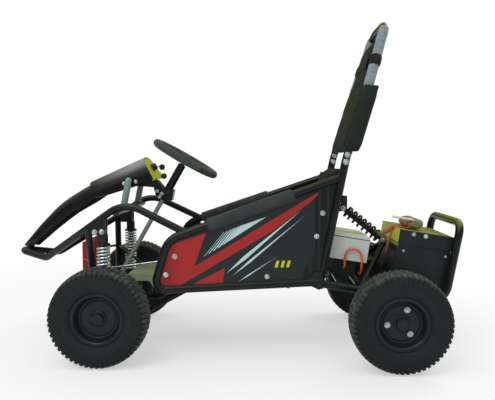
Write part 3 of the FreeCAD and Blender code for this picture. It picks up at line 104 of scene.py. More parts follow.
class Tree:
    """A material under construction, with short calls that add nodes and wire them."""

    def __init__(self, name: str) -> None:
        """Starts a material whose tree holds a Principled shader.

        Args:
            name: the material's name.
        """
        self.material = bpy.data.materials.new(name)
        self.material.use_nodes = True
        self.nodes = self.material.node_tree.nodes
        self.links = self.material.node_tree.links
        self.shader = self.nodes["Principled BSDF"]

    def put(self, kind: str, **values: object) -> bpy.types.Node:
        """Adds a node and sets its properties.

        Args:
            kind: the node's type after "ShaderNode".
            values: property names and values.

        Returns:
            The new node.
        """
        node = self.nodes.new("ShaderNode" + kind)
        for key, value in values.items():
            setattr(node, key, value)
        return node

    def feed(self, socket: bpy.types.NodeSocket, value: object) -> None:
        """Wires a socket, or sets its value where a plain one is given.

        Args:
            socket: the socket to feed.
            value: another node's socket, a number or a colour.
        """
        if isinstance(value, bpy.types.NodeSocket):
            self.links.new(value, socket)
        elif isinstance(value, tuple) and len(value) == 3 and len(socket.default_value) == 4:
            socket.default_value = (*value, 1.0)
        else:
            socket.default_value = value

    def place(self) -> bpy.types.NodeSocket:
        """Object coordinates."""
        return self.put("TexCoord").outputs["Object"]

    def facing(self) -> bpy.types.NodeSocket:
        """The surface's normal in the object's own frame."""
        return self.put("TexCoord").outputs["Normal"]

    def plane(self) -> bpy.types.NodeSocket:
        """The normal of the flat face itself, unsmoothed, in the object's own frame.

        Returns:
            The normal's socket.
        """
        turned = self.put("VectorTransform", vector_type="NORMAL", convert_from="WORLD", convert_to="OBJECT")
        self.feed(turned.inputs[0], self.put("NewGeometry").outputs["True Normal"])
        return turned.outputs[0]

    def axes(self, vector: bpy.types.NodeSocket) -> tuple[bpy.types.NodeSocket, ...]:
        """Splits a vector into its three parts.

        Args:
            vector: the vector's socket.

        Returns:
            The sockets of x, y and z.
        """
        node = self.put("SeparateXYZ")
        self.feed(node.inputs[0], vector)
        return tuple(node.outputs)

    def along(self, vector: bpy.types.NodeSocket, direction: Point) -> bpy.types.NodeSocket:
        """The dot product of a vector with a fixed direction of length 1.

        Args:
            vector: the vector's socket.
            direction: the direction, of any length.

        Returns:
            The product's socket.
        """
        node = self.put("VectorMath", operation="DOT_PRODUCT")
        self.feed(node.inputs[0], vector)
        node.inputs[1].default_value = tuple(unit(direction))
        return node.outputs["Value"]

    def sum(self, operation: str, first: object, second: object = 0.0,
            third: object = 0.0) -> bpy.types.NodeSocket:
        """A Math node.

        Args:
            operation: the node's operation name.
            first, second, third: sockets or numbers.

        Returns:
            The result's socket.
        """
        node = self.put("Math", operation=operation)
        for socket, value in zip(node.inputs, (first, second, third)):
            self.feed(socket, value)
        return node.outputs[0]

    def noise(self, scale: float, detail: float = 3.0, rough: float = 0.5) -> bpy.types.NodeSocket:
        """Fractal noise on object coordinates.

        Args:
            scale: waves for each metre.
            detail: octaves.
            rough: how much the fine octaves count.

        Returns:
            A value from 0 to 1.
        """
        node = self.put("TexNoise")
        self.feed(node.inputs["Vector"], self.place())
        node.inputs["Scale"].default_value = scale
        node.inputs["Detail"].default_value = detail
        node.inputs["Roughness"].default_value = rough
        return node.outputs[0]

    def cells(self, scale: float, feature: str = "F1") -> bpy.types.NodeSocket:
        """Distance to the points or edges of Voronoi cells.

        Args:
            scale: cells for each metre.
            feature: what the distance is to, by the node's own name.

        Returns:
            The distance's socket.
        """
        node = self.put("TexVoronoi", feature=feature)
        self.feed(node.inputs["Vector"], self.place())
        node.inputs["Scale"].default_value = scale
        return node.outputs["Distance"]

    def span(self, value: object, low: float, high: float, to_low: float = 0.0, to_high: float = 1.0,
             smooth: bool = False) -> bpy.types.NodeSocket:
        """Maps a range of a value onto another, clamped.

        Args:
            value: the socket to map.
            low, high: the range that it comes from.
            to_low, to_high: the range that it goes to.
            smooth: eases the ends.

        Returns:
            The mapped value.
        """
        node = self.put("MapRange", interpolation_type="SMOOTHSTEP" if smooth else "LINEAR")
        for socket, number in zip(node.inputs, (value, low, high, to_low, to_high)):
            self.feed(socket, number)
        return node.outputs[0]

    def blend(self, share: object, first: object, second: object) -> bpy.types.NodeSocket:
        """Mixes two colours by a share.

        Args:
            share: how much of the second colour shows, from 0 to 1.
            first, second: sockets or colours.

        Returns:
            The mixed colour's socket.
        """
        node = self.put("Mix", data_type="RGBA")
        self.feed(node.inputs[0], share)
        self.feed(node.inputs[6], first)
        self.feed(node.inputs[7], second)
        return node.outputs[2]

    def colour(self, value: object) -> None:
        """Sets the shader's base colour."""
        self.feed(self.shader.inputs["Base Color"], value)

    def set(self, **values: object) -> None:
        """Sets or wires the shader's sockets; an underscore in a name stands for a space."""
        for key, value in values.items():
            self.feed(self.shader.inputs[key.replace("_", " ")], value)

    def relief(self, height: bpy.types.NodeSocket, depth: float) -> None:
        """Bumps the surface.

        Args:
            height: a value from 0 to 1.
            depth: how far apart 0 and 1 are, in metres.
        """
        node = self.put("Bump")
        node.inputs["Distance"].default_value = depth
        self.feed(node.inputs["Height"], height)
        self.feed(self.shader.inputs["Normal"], node.outputs[0])


# Finishes


@dataclass(frozen=True)
class SheenPatch:
    """A painted reflection or sheen: a second colour on faces that look one way, behind a plane across the
    buggy and between two heights.

    A face takes none where the cosine between its normal and the direction is under faint, and its full share
    where it is over full. A flat patch asks the flat face, not the smoothed normal.
    """

    colour: Colour
    share: float
    toward: Point
    behind: float
    above: float
    below: float = 2.0
    soft: float = 0.006
    flat: bool = False
    faint: float = 0.35
    full: float = 0.85

    def lay(self, tree: Tree, shade: bpy.types.NodeSocket) -> bpy.types.NodeSocket:
        """Mixes the painted sheen over a shade.

        Args:
            tree: the material under construction.
            shade: the colour so far.

        Returns:
            The colour with the painted sheen on it.
        """
        x, _, z = tree.axes(tree.place())
        normal = tree.plane() if self.flat else tree.facing()
        cosine = tree.along(normal, self.toward)
        share = tree.span(cosine, self.faint, self.full, 0.0, self.share, smooth=True)
        share = tree.sum("MULTIPLY", share, tree.span(x, self.behind - self.soft, self.behind + self.soft))
        share = tree.sum("MULTIPLY", share, tree.span(z, self.above - self.soft, self.above + self.soft))
        share = tree.sum("MULTIPLY", share, tree.span(z, self.below + self.soft, self.below - self.soft))
        return tree.blend(share, shade, self.colour)


@dataclass(frozen=True)
class Coating:
    """Paint, lacquer or moulded plastic that wanders between two colours and has a fine grain.

    A face that looks up takes a share of a painted sheen colour, and each painted sheen patch lies on its own
    faces.
    """

    name: str
    colour: Colour
    other: Colour
    roughness: float = 0.35
    coat: float = 0.0
    specular: float = 0.35
    mottle: float = 14.0
    grain: float = 500.0
    depth: float = 0.00012
    # painted sheen: a paler colour that faces looking up take a share of, standing for a reflection from
    # above
    top_sheen_colour: Colour | None = None
    top_share: float = 0.0
    top_sheen_from: float = 0.35
    # painted reflection and sheen patches, each on its own faces
    sheen_patches: tuple[SheenPatch, ...] = ()
    gloss_mottle: float = 3.1
    glossy: float = 0.82
    matt: float = 1.18

    def make(self) -> bpy.types.Material:
        """Builds the material.

        Returns:
            The material.
        """
        tree = Tree(self.name)
        shade = tree.blend(tree.span(tree.noise(self.mottle), *MIDDLE), self.colour, self.other)
        # painted reflection patches, each on the faces that look its way
        for sheen_patch in self.sheen_patches:
            shade = sheen_patch.lay(tree, shade)
        # painted sheen on faces that look up, by top_share
        if self.top_sheen_colour:
            up = tree.axes(tree.facing())[2]
            rise = tree.span(up, self.top_sheen_from, 1.0, 0.0, self.top_share, smooth=True)
            shade = tree.blend(rise, shade, self.top_sheen_colour)
        tree.colour(shade)
        patches = tree.noise(self.mottle * self.gloss_mottle, 4.0)
        gloss = tree.span(patches, *WIDE, self.roughness * self.glossy, self.roughness * self.matt)
        tree.set(Roughness=gloss, Coat_Weight=self.coat, Specular_IOR_Level=self.specular)
        tree.relief(tree.noise(self.grain, 3.0, 0.6), self.depth)
        return tree.material


@dataclass(frozen=True)
class BareMetal:
    """Plated or drawn steel: bright, with fine scratches and faint stains."""

    name: str
    colour: Colour
    roughness: float = 0.3
    stain_waves: float = 60.0
    stain_span: tuple[float, float] = (0.42, 0.66)
    stain_shade: float = 0.55
    stain_roughness: float = 1.8
    scratch_waves: float = 900.0
    scratch_depth: float = 0.00005

    def make(self) -> bpy.types.Material:
        """Builds the material.

        Returns:
            The material.
        """
        tree = Tree(self.name)
        stain = tree.span(tree.noise(self.stain_waves, 5.0), *self.stain_span)
        dull = tuple(part * self.stain_shade for part in self.colour)
        tree.colour(tree.blend(stain, self.colour, dull))
        roughest = min(self.roughness * self.stain_roughness, 1.0)
        tree.set(Roughness=tree.span(stain, 0.0, 1.0, self.roughness, roughest), Metallic=1.0)
        tree.relief(tree.noise(self.scratch_waves, 2.0), self.scratch_depth)
        return tree.material


@dataclass(frozen=True)
class Foam:
    """Closed-cell foam: matt, finely pitted, a little paler where it is worn."""

    name: str
    colour: Colour
    worn: Colour
    wear_waves: float = 22.0
    wear_span: tuple[float, float] = (0.42, 0.7)
    pore: float = 420.0
    pore_noise: float = 0.6
    depth: float = 0.0005

    def make(self) -> bpy.types.Material:
        """Builds the material.

        Returns:
            The material.
        """
        tree = Tree(self.name)
        wear = tree.span(tree.noise(self.wear_waves, 5.0), *self.wear_span)
        tree.colour(tree.blend(wear, self.colour, self.worn))
        tree.set(Roughness=0.82, Sheen_Weight=0.08, Specular_IOR_Level=0.25)
        pits = tree.sum("ADD", tree.cells(self.pore), tree.noise(self.pore * self.pore_noise, 4.0))
        tree.relief(pits, self.depth)
        return tree.material


@dataclass(frozen=True)
class Hide:
    """Coated seat fabric with a leather grain of fine cells and soft creases."""

    name: str
    colour: Colour
    other: Colour
    mottle: float = 9.0
    grain: float = 330.0
    grain_width: float = 0.22
    crease_waves: float = 26.0
    crease_share: float = 1.6
    depth: float = 0.0006

    def make(self) -> bpy.types.Material:
        """Builds the material.

        Returns:
            The material.
        """
        tree = Tree(self.name)
        tree.colour(tree.blend(tree.span(tree.noise(self.mottle, 4.0), *MIDDLE), self.colour, self.other))
        tree.set(Roughness=tree.span(tree.noise(30.0, 3.0), *WIDE, 0.66, 0.82), Specular_IOR_Level=0.14)
        cells = tree.span(tree.cells(self.grain, "DISTANCE_TO_EDGE"), 0.0, self.grain_width)
        creases = tree.sum("MULTIPLY", tree.noise(self.crease_waves, 6.0, 0.6), self.crease_share)
        tree.relief(tree.sum("ADD", cells, creases), self.depth)
        return tree.material


@dataclass(frozen=True)
class Weave:
    """Woven cloth: two sets of threads crossing on object coordinates, with slubs."""

    name: str
    colour: Colour
    other: Colour
    thread_waves: float = 1980.0
    slub_waves: float = 120.0
    depth: float = 0.0007

    def make(self) -> bpy.types.Material:
        """Builds the material.

        Returns:
            The material.
        """
        tree = Tree(self.name)
        x, y, z = tree.axes(tree.place())
        run = tree.sum("ADD", x, y)
        warp = tree.sum("SINE", tree.sum("MULTIPLY", run, self.thread_waves))
        weft = tree.sum("SINE", tree.sum("MULTIPLY", z, self.thread_waves))
        cross = tree.span(tree.sum("MULTIPLY", warp, weft), -1.0, 1.0, 0.0, 0.5)
        slub = tree.span(tree.noise(self.slub_waves, 5.0, 0.7), *MIDDLE, 0.0, 0.5)
        share = tree.sum("ADD", cross, slub)
        tree.colour(tree.blend(share, self.colour, self.other))
        tree.set(Roughness=0.85, Sheen_Weight=0.3, Sheen_Roughness=0.4)
        tree.relief(share, self.depth)
        return tree.material


@dataclass(frozen=True)
class TyreRubber:
    """Tyre rubber about one wheel's axle: matt, with moulded rings on the wall, and paler patches on the
    tread that stand for dust and a painted highlight.
    """

    name: str
    axle: Point
    colour: Colour
    # paler tread colour: dust and a painted highlight on the blocks
    dust_and_sheen: Colour
    tread_radius: float = 0.150
    tread_fade: float = 0.012
    dust_and_sheen_waves: float = 34.0
    dust_and_sheen_span: tuple[float, float] = (0.42, 0.64)
    least_dust_and_sheen: float = 0.3
    ring_waves: float = 2400.0
    ring_fade: tuple[float, float] = (0.118, 0.112)
    depth: float = 0.0004

    def make(self) -> bpy.types.Material:
        """Builds the material.

        Returns:
            The material.
        """
        tree = Tree(self.name)
        x, _, z = tree.axes(tree.place())
        dx = tree.sum("SUBTRACT", x, self.axle[0])
        dz = tree.sum("SUBTRACT", z, self.axle[2])
        square = tree.sum("ADD", tree.sum("MULTIPLY", dx, dx), tree.sum("MULTIPLY", dz, dz))
        radius = tree.sum("SQRT", square)
        tread = tree.span(radius, self.tread_radius, self.tread_radius + self.tread_fade)
        # paler patches on the tread, by radius: dust and a painted highlight
        patches = tree.span(tree.noise(self.dust_and_sheen_waves, 5.0, 0.65), *self.dust_and_sheen_span, self.least_dust_and_sheen, 1.0)
        tree.colour(tree.blend(tree.sum("MULTIPLY", tread, patches), self.colour, self.dust_and_sheen))
        tree.set(Roughness=tree.span(tree.noise(50.0, 4.0), *WIDE, 0.6, 0.78), Specular_IOR_Level=0.22)
        rings = tree.sum("SINE", tree.sum("MULTIPLY", radius, self.ring_waves))
        ringed = tree.sum("MULTIPLY", tree.span(rings, -1.0, 1.0), tree.span(radius, *self.ring_fade))
        pores = tree.noise(520.0, 4.0, 0.7)
        tree.relief(tree.sum("ADD", tree.sum("MULTIPLY", ringed, 0.5), pores), self.depth)
        return tree.material


@dataclass(frozen=True)
class SplitPaint:
    """Paint in two colours that meet at a height."""

    name: str
    upper: Colour
    lower: Colour
    height: float
    soft: float = 0.004
    depth: float = 0.0001

    def make(self) -> bpy.types.Material:
        """Builds the material.

        Returns:
            The material.
        """
        tree = Tree(self.name)
        z = tree.axes(tree.place())[2]
        share = tree.span(z, self.height - self.soft, self.height + self.soft)
        tree.colour(tree.blend(share, self.lower, self.upper))
        tree.set(Roughness=tree.span(tree.noise(40.0), *WIDE, 0.3, 0.42), Specular_IOR_Level=0.35)
        tree.relief(tree.noise(500.0), self.depth)
        return tree.material


@dataclass(frozen=True)
class HalfPlane:
    """One straight border in the panel's x-z plane; inside is on the left of start to end."""

    start: Spot
    end: Spot

    def depth(self, tree: Tree, x: bpy.types.NodeSocket, z: bpy.types.NodeSocket) -> bpy.types.NodeSocket:
        """How far inside a point is: its dot product with the border's inward normal, less the start's.

        Args:
            tree: the material under construction.
            x, z: the point's sockets.

        Returns:
            The depth in metres.
        """
        run = np.subtract(self.end, self.start)
        normal = np.array([-run[1], run[0]]) / np.hypot(*run)
        offset = float(normal @ np.array(self.start))
        along = tree.sum("MULTIPLY_ADD", x, float(normal[0]), -offset)
        return tree.sum("MULTIPLY_ADD", z, float(normal[1]), along)


@dataclass(frozen=True)
class PanelPrint:
    """The side panels' print, in places of x and z on the panel.

    Dark slate with a red front field, wedge and diagonal band, a hatched silver dart, three silver stripes,
    three small yellow bars, and a darker zone at the rear with faint painted reflection streaks.
    """

    name: str
    slate: Colour = (0.0105, 0.0165, 0.0172)
    slate_patch: float = 1.25
    night: Colour = (0.004, 0.006, 0.0065)
    red: Colour = (0.34, 0.018, 0.016)
    deep_red: Colour = (0.19, 0.008, 0.008)
    silver: Colour = (0.47, 0.62, 0.64)
    lime: Colour = (0.55, 0.55, 0.02)
    soft: float = 0.0007
    band_head: Border = ((0.307, 0.5786), (-0.1227, 0.323))
    band_foot: tuple[Border, ...] = (
        ((-0.1526, 0.270), (0.1421, 0.4409)), ((0.1421, 0.4409), (0.2805, 0.5469)),
        ((0.2805, 0.5469), (0.305, 0.5696)))
    band_end: Border = ((0.30, 0.25), (0.30, 0.65))
    front: tuple[Border, ...] = (
        ((-0.0926, 0.435), (-0.195, 0.401)), ((-0.1227, 0.325), (-0.0875, 0.4256)))
    wedge: tuple[Border, ...] = (
        ((-0.0191, 0.3168), (-0.1249, 0.264)), ((-0.0271, 0.2638), (-0.0191, 0.3168)))
    dart: tuple[Spot, ...] = ((0.1357, 0.5002), (0.0369, 0.4625), (-0.0211, 0.443), (-0.0909, 0.3569),
                              (-0.051, 0.3805))
    hatch_pitch: float = 0.0060
    hatch_run: float = 0.036
    hatch_fill: tuple[float, float] = (0.22, 1.02)
    stripe_lines: tuple[tuple[Spot, Spot, float], ...] = (
        ((-0.012, 0.300), (0.236, 0.508), 0.013), ((0.010, 0.292), (0.243, 0.484), 0.008),
        ((0.030, 0.270), (0.1468, 0.3444), 0.0045))
    stripe_thickest: float = 0.25
    bar_places: tuple[float, ...] = (0.152, 0.172, 0.192)
    bar_foot: float = 0.315
    bar_head: float = 0.338
    bar_lean: float = 0.006
    bar_width: float = 0.010
    dusk_run: tuple[float, float] = (-0.16, -0.23)
    dusk_share: float = 0.8
    rear_upper: Border = ((0.2887, 0.5583), (0.293, 0.3646))
    rear_lower: Border = ((0.293, 0.3646), (0.246, 0.2865))
    rear_level: Border = ((0.20, 0.3646), (0.40, 0.3646))
    # painted reflection: faint silver streaks across the rear zone
    reflection_streak_waves: float = 210.0
    reflection_streak_share: float = 0.02

    def field(self, tree: Tree, x: object, z: object, borders: list[Border]) -> bpy.types.NodeSocket:
        """A convex field's share: the least of its borders' depths, softened over a hair's breadth.

        Args:
            tree: the material under construction.
            x, z: the point's sockets.
            borders: the field's straight borders.

        Returns:
            A value of 1 inside and 0 outside.
        """
        share = None
        for start, end in borders:
            depth = HalfPlane(start, end).depth(tree, x, z)
            share = depth if share is None else tree.sum("MINIMUM", share, depth)
        return tree.span(share, -self.soft, self.soft)

    def loop(self, corners: list[Spot]) -> list[Border]:
        """The borders of a closed outline."""
        return list(zip(corners, corners[1:] + corners[:1]))

    def bar(self, left: float) -> list[Border]:
        """One slanted yellow bar.

        Args:
            left: where its foot starts.

        Returns:
            Its four borders.
        """
        lean = left + self.bar_lean
        return self.loop([(left, self.bar_foot), (left + self.bar_width, self.bar_foot),
                          (lean + self.bar_width, self.bar_head), (lean, self.bar_head)])

    def stripe(self, start: Spot, end: Spot, width: float) -> list[Border]:
        """The borders of a stripe that is pointed at both ends.

        Args:
            start, end: its points.
            width: how wide it is where it is thickest.

        Returns:
            Its four borders.
        """
        run = np.subtract(end, start)
        left = np.array([-run[1], run[0]]) / np.hypot(*run) * width / 2
        thick = np.array(start) + run * self.stripe_thickest
        return self.loop([start, tuple(thick - left), end, tuple(thick + left)])

    def red_share(self, tree: Tree, x: object, z: object) -> bpy.types.NodeSocket:
        """Where the red front field, the diagonal band and the wedge are.

        Args:
            tree: the material under construction.
            x, z: the point's sockets.

        Returns:
            A value of 1 inside and 0 outside.
        """
        front = self.field(tree, x, z, [*self.front, self.band_foot[0]])
        band = self.field(tree, x, z, [self.band_head, *self.band_foot, self.band_end])
        wedge = self.field(tree, x, z, self.wedge)
        return tree.sum("MAXIMUM", tree.sum("MAXIMUM", front, band), wedge)

    def silver_share(self, tree: Tree, x: object, z: object) -> bpy.types.NodeSocket:
        """Where the hatched dart and the stripes are; the hatch fills up away from its front edge.

        Args:
            tree: the material under construction.
            x, z: the point's sockets.

        Returns:
            A value of 1 inside and 0 outside.
        """
        dart = self.field(tree, x, z, self.loop(self.dart))
        reach = tree.sum("MULTIPLY", HalfPlane(self.dart[3], self.dart[2]).depth(tree, x, z), -1.0)
        phase = tree.sum("FRACT", tree.sum("MULTIPLY", reach, 1 / self.hatch_pitch))
        filled = tree.span(reach, 0.0, self.hatch_run, *self.hatch_fill)
        silver = tree.sum("MULTIPLY", dart, tree.sum("LESS_THAN", phase, filled))
        for start, end, width in self.stripe_lines:
            silver = tree.sum("MAXIMUM", silver, self.field(tree, x, z, self.stripe(start, end, width)))
        return silver

    def make(self) -> bpy.types.Material:
        """Builds the material.

        Returns:
            The material.
        """
        tree = Tree(self.name)
        x, _, z = tree.axes(tree.place())
        first, second, third = (self.field(tree, x, z, self.bar(left)) for left in self.bar_places)
        lime = tree.sum("MAXIMUM", tree.sum("MAXIMUM", first, second), third)
        dusk = tree.span(x, *self.dusk_run, 0.0, self.dusk_share, smooth=True)
        ink = tree.blend(dusk, self.red, self.deep_red)
        patch = tuple(part * self.slate_patch for part in self.slate)
        shade = tree.blend(tree.noise(7.0), self.slate, patch)
        upper = self.field(tree, x, z, [self.rear_upper, self.rear_level])
        lower = self.field(tree, x, z, [self.rear_lower, self.rear_level[::-1]])
        # faint silver streaks in the rear zone are painted reflections
        reflection_streak = tree.span(tree.sum("SINE", tree.sum("MULTIPLY", x, self.reflection_streak_waves)), 0.2, 1.0, 0.0,
                           self.reflection_streak_share, smooth=True)
        rear = tree.blend(reflection_streak, self.night, self.silver)
        shade = tree.blend(tree.sum("MAXIMUM", upper, lower), shade, rear)
        shade = tree.blend(self.red_share(tree, x, z), shade, ink)
        shade = tree.blend(self.silver_share(tree, x, z), shade, self.silver)
        tree.colour(tree.blend(lime, shade, self.lime))
        tree.set(Roughness=tree.span(tree.noise(26.0, 4.0), *WIDE, 0.28, 0.40), Specular_IOR_Level=0.25)
        tree.relief(tree.noise(300.0, 3.0), 0.0001)
        return tree.material


# Surfaces worked out with numpy


@dataclass
class Surface:
    """Points and four-sided faces of one shell."""

    points: np.ndarray
    faces: np.ndarray

    @classmethod
    def grid(cls, points: np.ndarray, wrap_rows: bool = False, wrap_columns: bool = False) -> "Surface":
        """Joins a grid of points by quads.

        Args:
            points: an array of rows, columns and three coordinates.
            wrap_rows: the last row meets the first.
            wrap_columns: the last column meets the first.

        Returns:
            The surface.
        """
        rows, columns = points.shape[:2]
        index = np.arange(rows * columns).reshape(rows, columns)
        below = np.roll(index, -1, axis=0)
        beside = np.roll(index, -1, axis=1)
        both = np.roll(below, -1, axis=1)
        quads = np.stack([index, beside, both, below], axis=-1)
        quads = quads if wrap_rows else quads[:-1]
        quads = quads if wrap_columns else quads[:, :-1]
        return cls(points.reshape(-1, 3), quads.reshape(-1, 4))

    @classmethod
    def merge(cls, parts: list["Surface"]) -> "Surface":
        """Puts several shells into one list of points and faces.

        Args:
            parts: the shells.

        Returns:
            One surface with all their points and faces.
        """
        starts = np.cumsum([0] + [len(part.points) for part in parts[:-1]])
        return cls(np.concatenate([part.points for part in parts]),
                   np.concatenate([part.faces + start for part, start in zip(parts, starts)]))

    def moved(self, matrix: np.ndarray, origin: Point = (0.0, 0.0, 0.0)) -> "Surface":
        """The surface turned by a 3 x 3 matrix and then shifted."""
        return Surface(self.points @ np.asarray(matrix).T + np.array(origin), self.faces)


def unit(vector: object) -> np.ndarray:
    """A vector of length 1 in the same direction."""
    array = np.array(vector, float)
    return array / np.linalg.norm(array)


def frame_of(axis: object) -> np.ndarray:
    """Three directions square to each other, the last along an axis.

    Args:
        axis: the axis' direction, of any length.

    Returns:
        A 3 x 3 matrix with the directions as its columns.
    """
    third = unit(axis)
    helper = np.array([0.0, 0.0, 1.0]) if abs(third[2]) < 0.9 else np.array([1.0, 0.0, 0.0])
    first = unit(np.cross(helper, third))
    return np.stack([first, np.cross(third, first), third], axis=1)


def lathe(profile: list[tuple[float, float]], centre: Point, axis: object, steps: int = 24) -> Surface:
    """Turns a profile about an axis.

    A point at angle a of a profile point (h, r) is h along the axis and r out at angle a.

    Args:
        profile: pairs of height along the axis and radius.
        centre: where height 0 is.
        axis: the axis' direction.
        steps: points round the axis.

    Returns:
        The turned surface.
    """
    outline = np.array(profile, float)
    angle = np.linspace(0, 2 * np.pi, steps, endpoint=False)
    height = np.repeat(outline[:, 0][:, None], steps, axis=1)
    radius = outline[:, 1][:, None]
    points = np.stack([radius * np.cos(angle), radius * np.sin(angle), height], axis=-1)
    return Surface.grid(points, wrap_columns=True).moved(frame_of(axis), centre)


def pipe(path: np.ndarray, radius: object, sides: int = 12, edge: Edge = Edge.CAPPED) -> Surface:
    """Carries a circle along a path.

    Each ring is the path's point plus radius times cos a and sin a along two directions square to the path.

    Args:
        path: an array of points.
        radius: one radius, or one for each point.
        sides: points round the ring.
        edge: whether the ends are closed.

    Returns:
        The tube.
    """
    path = np.array(path, float)
    along = np.gradient(path, axis=0)
    along /= np.linalg.norm(along, axis=1, keepdims=True)
    spread = path.max(0) - path.min(0)
    helper = np.eye(3)[int(np.argmin(spread))]
    first = np.cross(helper, along)
    first /= np.linalg.norm(first, axis=1, keepdims=True)
    second = np.cross(along, first)
    angle = np.linspace(0, 2 * np.pi, sides, endpoint=False)[None, :, None]
    width = np.broadcast_to(np.asarray(radius, float), (len(path),))[:, None, None]
    rings = path[:, None] + width * (np.cos(angle) * first[:, None] + np.sin(angle) * second[:, None])
    if edge is Edge.CAPPED:
        first_pole, last_pole = (np.repeat(end[:, None], sides, 1) for end in (path[:1], path[-1:]))
        rings = np.concatenate([first_pole, rings, last_pole])
    return Surface.grid(rings, wrap_columns=True)


def slab(corners: np.ndarray, push: np.ndarray) -> Surface:
    """A six-sided block; its top is its foot's corners plus a push.

    Args:
        corners: the foot's four corners.
        push: from the foot to the top.

    Returns:
        The block.
    """
    return Surface(np.concatenate([corners, corners + push]), BOX_FACES)


def add_piece(name: str, surface: Surface, finish: bpy.types.Material, body: str, smooth: bool = True,
              bevel: float = 0.0) -> bpy.types.Object:
    """Makes a mesh object, closes its poles, turns its faces outward and lets it ride on a body.

    Args:
        name: the piece's name.
        surface: its points and faces.
        finish: its material.
        body: the body that it moves with.
        smooth: shades it smooth.
        bevel: width of a bevel on sharp edges, in metres.

    Returns:
        The object.
    """
    mesh = bpy.data.meshes.new(name)
    mesh.from_pydata(surface.points.tolist(), [], surface.faces.tolist())
    cleaner = bmesh.new()
    cleaner.from_mesh(mesh)
    bmesh.ops.remove_doubles(cleaner, verts=cleaner.verts, dist=WELD)
    bmesh.ops.dissolve_degenerate(cleaner, edges=cleaner.edges, dist=WELD / 10)
    bmesh.ops.recalc_face_normals(cleaner, faces=cleaner.faces)
    cleaner.to_mesh(mesh)
    cleaner.free()
    mesh.polygons.foreach_set("use_smooth", np.full(len(mesh.polygons), smooth))
    mesh.materials.append(finish)
    item = bpy.data.objects.new(name, mesh)
    bpy.context.scene.collection.objects.link(item)
    if bevel:
        chamfer = item.modifiers.new("edges", "BEVEL")
        chamfer.width = bevel
        chamfer.segments = 2
        chamfer.limit_method = "ANGLE"
    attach(item, body)
    LOG.info("piece %s: %d faces on %s", name, len(mesh.polygons), body)
    return item


def harden(item: bpy.types.Object, limit: float = 40.0) -> None:
    """Keeps the sharp edges of a smooth shell sharp.

    Args:
        item: the shell.
        limit: the angle in degrees from which an edge is sharp.
    """
    mesh = item.data
    sharp = bmesh.new()
    sharp.from_mesh(mesh)
    for edge in sharp.edges:
        edge.smooth = len(edge.link_faces) != 2 or edge.calc_face_angle(0.0) < math.radians(limit)
    sharp.to_mesh(mesh)
    sharp.free()


# What the pieces are set against


@dataclass(frozen=True)
class Axle:
    """One pair of wheels: the body that each rides on, its wheels' middles and the bore of its rims."""

    end: str
    wheel_body: str
    x: float
    half_track: float
    bore: float
    height: float = 0.165

    def body(self, side: Side) -> str:
        """The body of one wheel; the rear wheels share theirs."""
        return self.wheel_body.replace("%s", side.name.lower())

    def centre(self, side: Side, out: float = 0.0) -> Point:
        """The middle of one wheel, or the point of its axis that is some way further out."""
        return self.x, side.value * (self.half_track + out), self.height


FRONT = Axle("front", "front_wheel_%s", -0.4305, 0.2995, 0.0095)
REAR = Axle("rear", "rear_axle", 0.5565, 0.3225, 0.0125)


@dataclass(frozen=True)
class ArmBar:
    """The centre line of an arm bar, which closes in and rises toward the rear."""

    front: Point = (-0.2105, 0.25, 0.4176)
    closing: float = 0.140119
    rise: float = 0.35232

    def half_width(self, x: np.ndarray | float) -> np.ndarray | float:
        """How far from the buggy's middle the line is at a place along it."""
        return self.front[1] - self.closing * (x - self.front[0])

    def line(self, x: np.ndarray, side: Side) -> np.ndarray:
        """Points of the line at some places along it."""
        height = self.front[2] + (x - self.front[0]) * self.rise
        return np.stack([x, side.value * self.half_width(x), height], axis=-1)


@dataclass(frozen=True)
class UpperHoop:
    """The centre line of the upper hoop's two tubes.

    They lean back and close in by fixed slopes; above the bend's start they close in further, by the bend
    times the square of the rise above it.
    """

    foot_x: float = 0.3965
    foot_z: float = 0.690
    lean: float = 0.29705
    half_width: float = 0.172
    width_z: float = 0.890
    closing: float = 0.24727
    bend_z: float = 1.128
    bend: float = 11.0

    def x(self, height: np.ndarray) -> np.ndarray:
        """Places along the buggy at some heights."""
        return self.foot_x + (height - self.foot_z) * self.lean

    def line(self, height: np.ndarray, side: Side) -> np.ndarray:
        """Points of one tube.

        Args:
            height: the points' heights.
            side: which of the two tubes.

        Returns:
            An array of points.
        """
        above = np.maximum(height - self.bend_z, 0.0)
        level = self.half_width - (height - self.width_z) * self.closing - self.bend * above ** 2
        return np.stack([self.x(height), side.value * level, height], axis=-1)


ARM_BAR = ArmBar()
UPPER_HOOP = UpperHoop()


# Sub-assemblies


@dataclass
class Viewpoint:
    """The camera: its place, how it is turned, pitched down and rolled, in radians, and its lens in mm."""

    place: Point = (0.09908, -2.09769, 0.68642)
    yaw: float = 0.02210628
    pitch: float = 0.07236937
    roll: float = 0.00294963
    lens: float = 40.2825
    sensor: float = 36.0
    far: float = 100.0

    def build(self) -> None:
        """Sets the scene's camera: its columns are right, up and backward."""
        level = math.cos(self.pitch)
        ahead = np.array([-math.sin(self.yaw) * level, math.cos(self.yaw) * level, -math.sin(self.pitch)])
        right = np.array([math.cos(self.yaw), math.sin(self.yaw), 0.0])
        up = np.cross(right, ahead)
        turned_right = math.cos(self.roll) * right + math.sin(self.roll) * up
        turned_up = math.cos(self.roll) * up - math.sin(self.roll) * right
        lens = bpy.data.cameras.new("camera")
        lens.lens = self.lens
        lens.sensor_width = self.sensor
        lens.clip_end = self.far
        camera = bpy.data.objects.new("camera", lens)
        bpy.context.scene.collection.objects.link(camera)
        matrix = np.eye(4)
        matrix[:3] = np.stack([turned_right, turned_up, -ahead, self.place], axis=1)
        camera.matrix_world = Matrix(matrix.tolist())
        bpy.context.scene.camera = camera


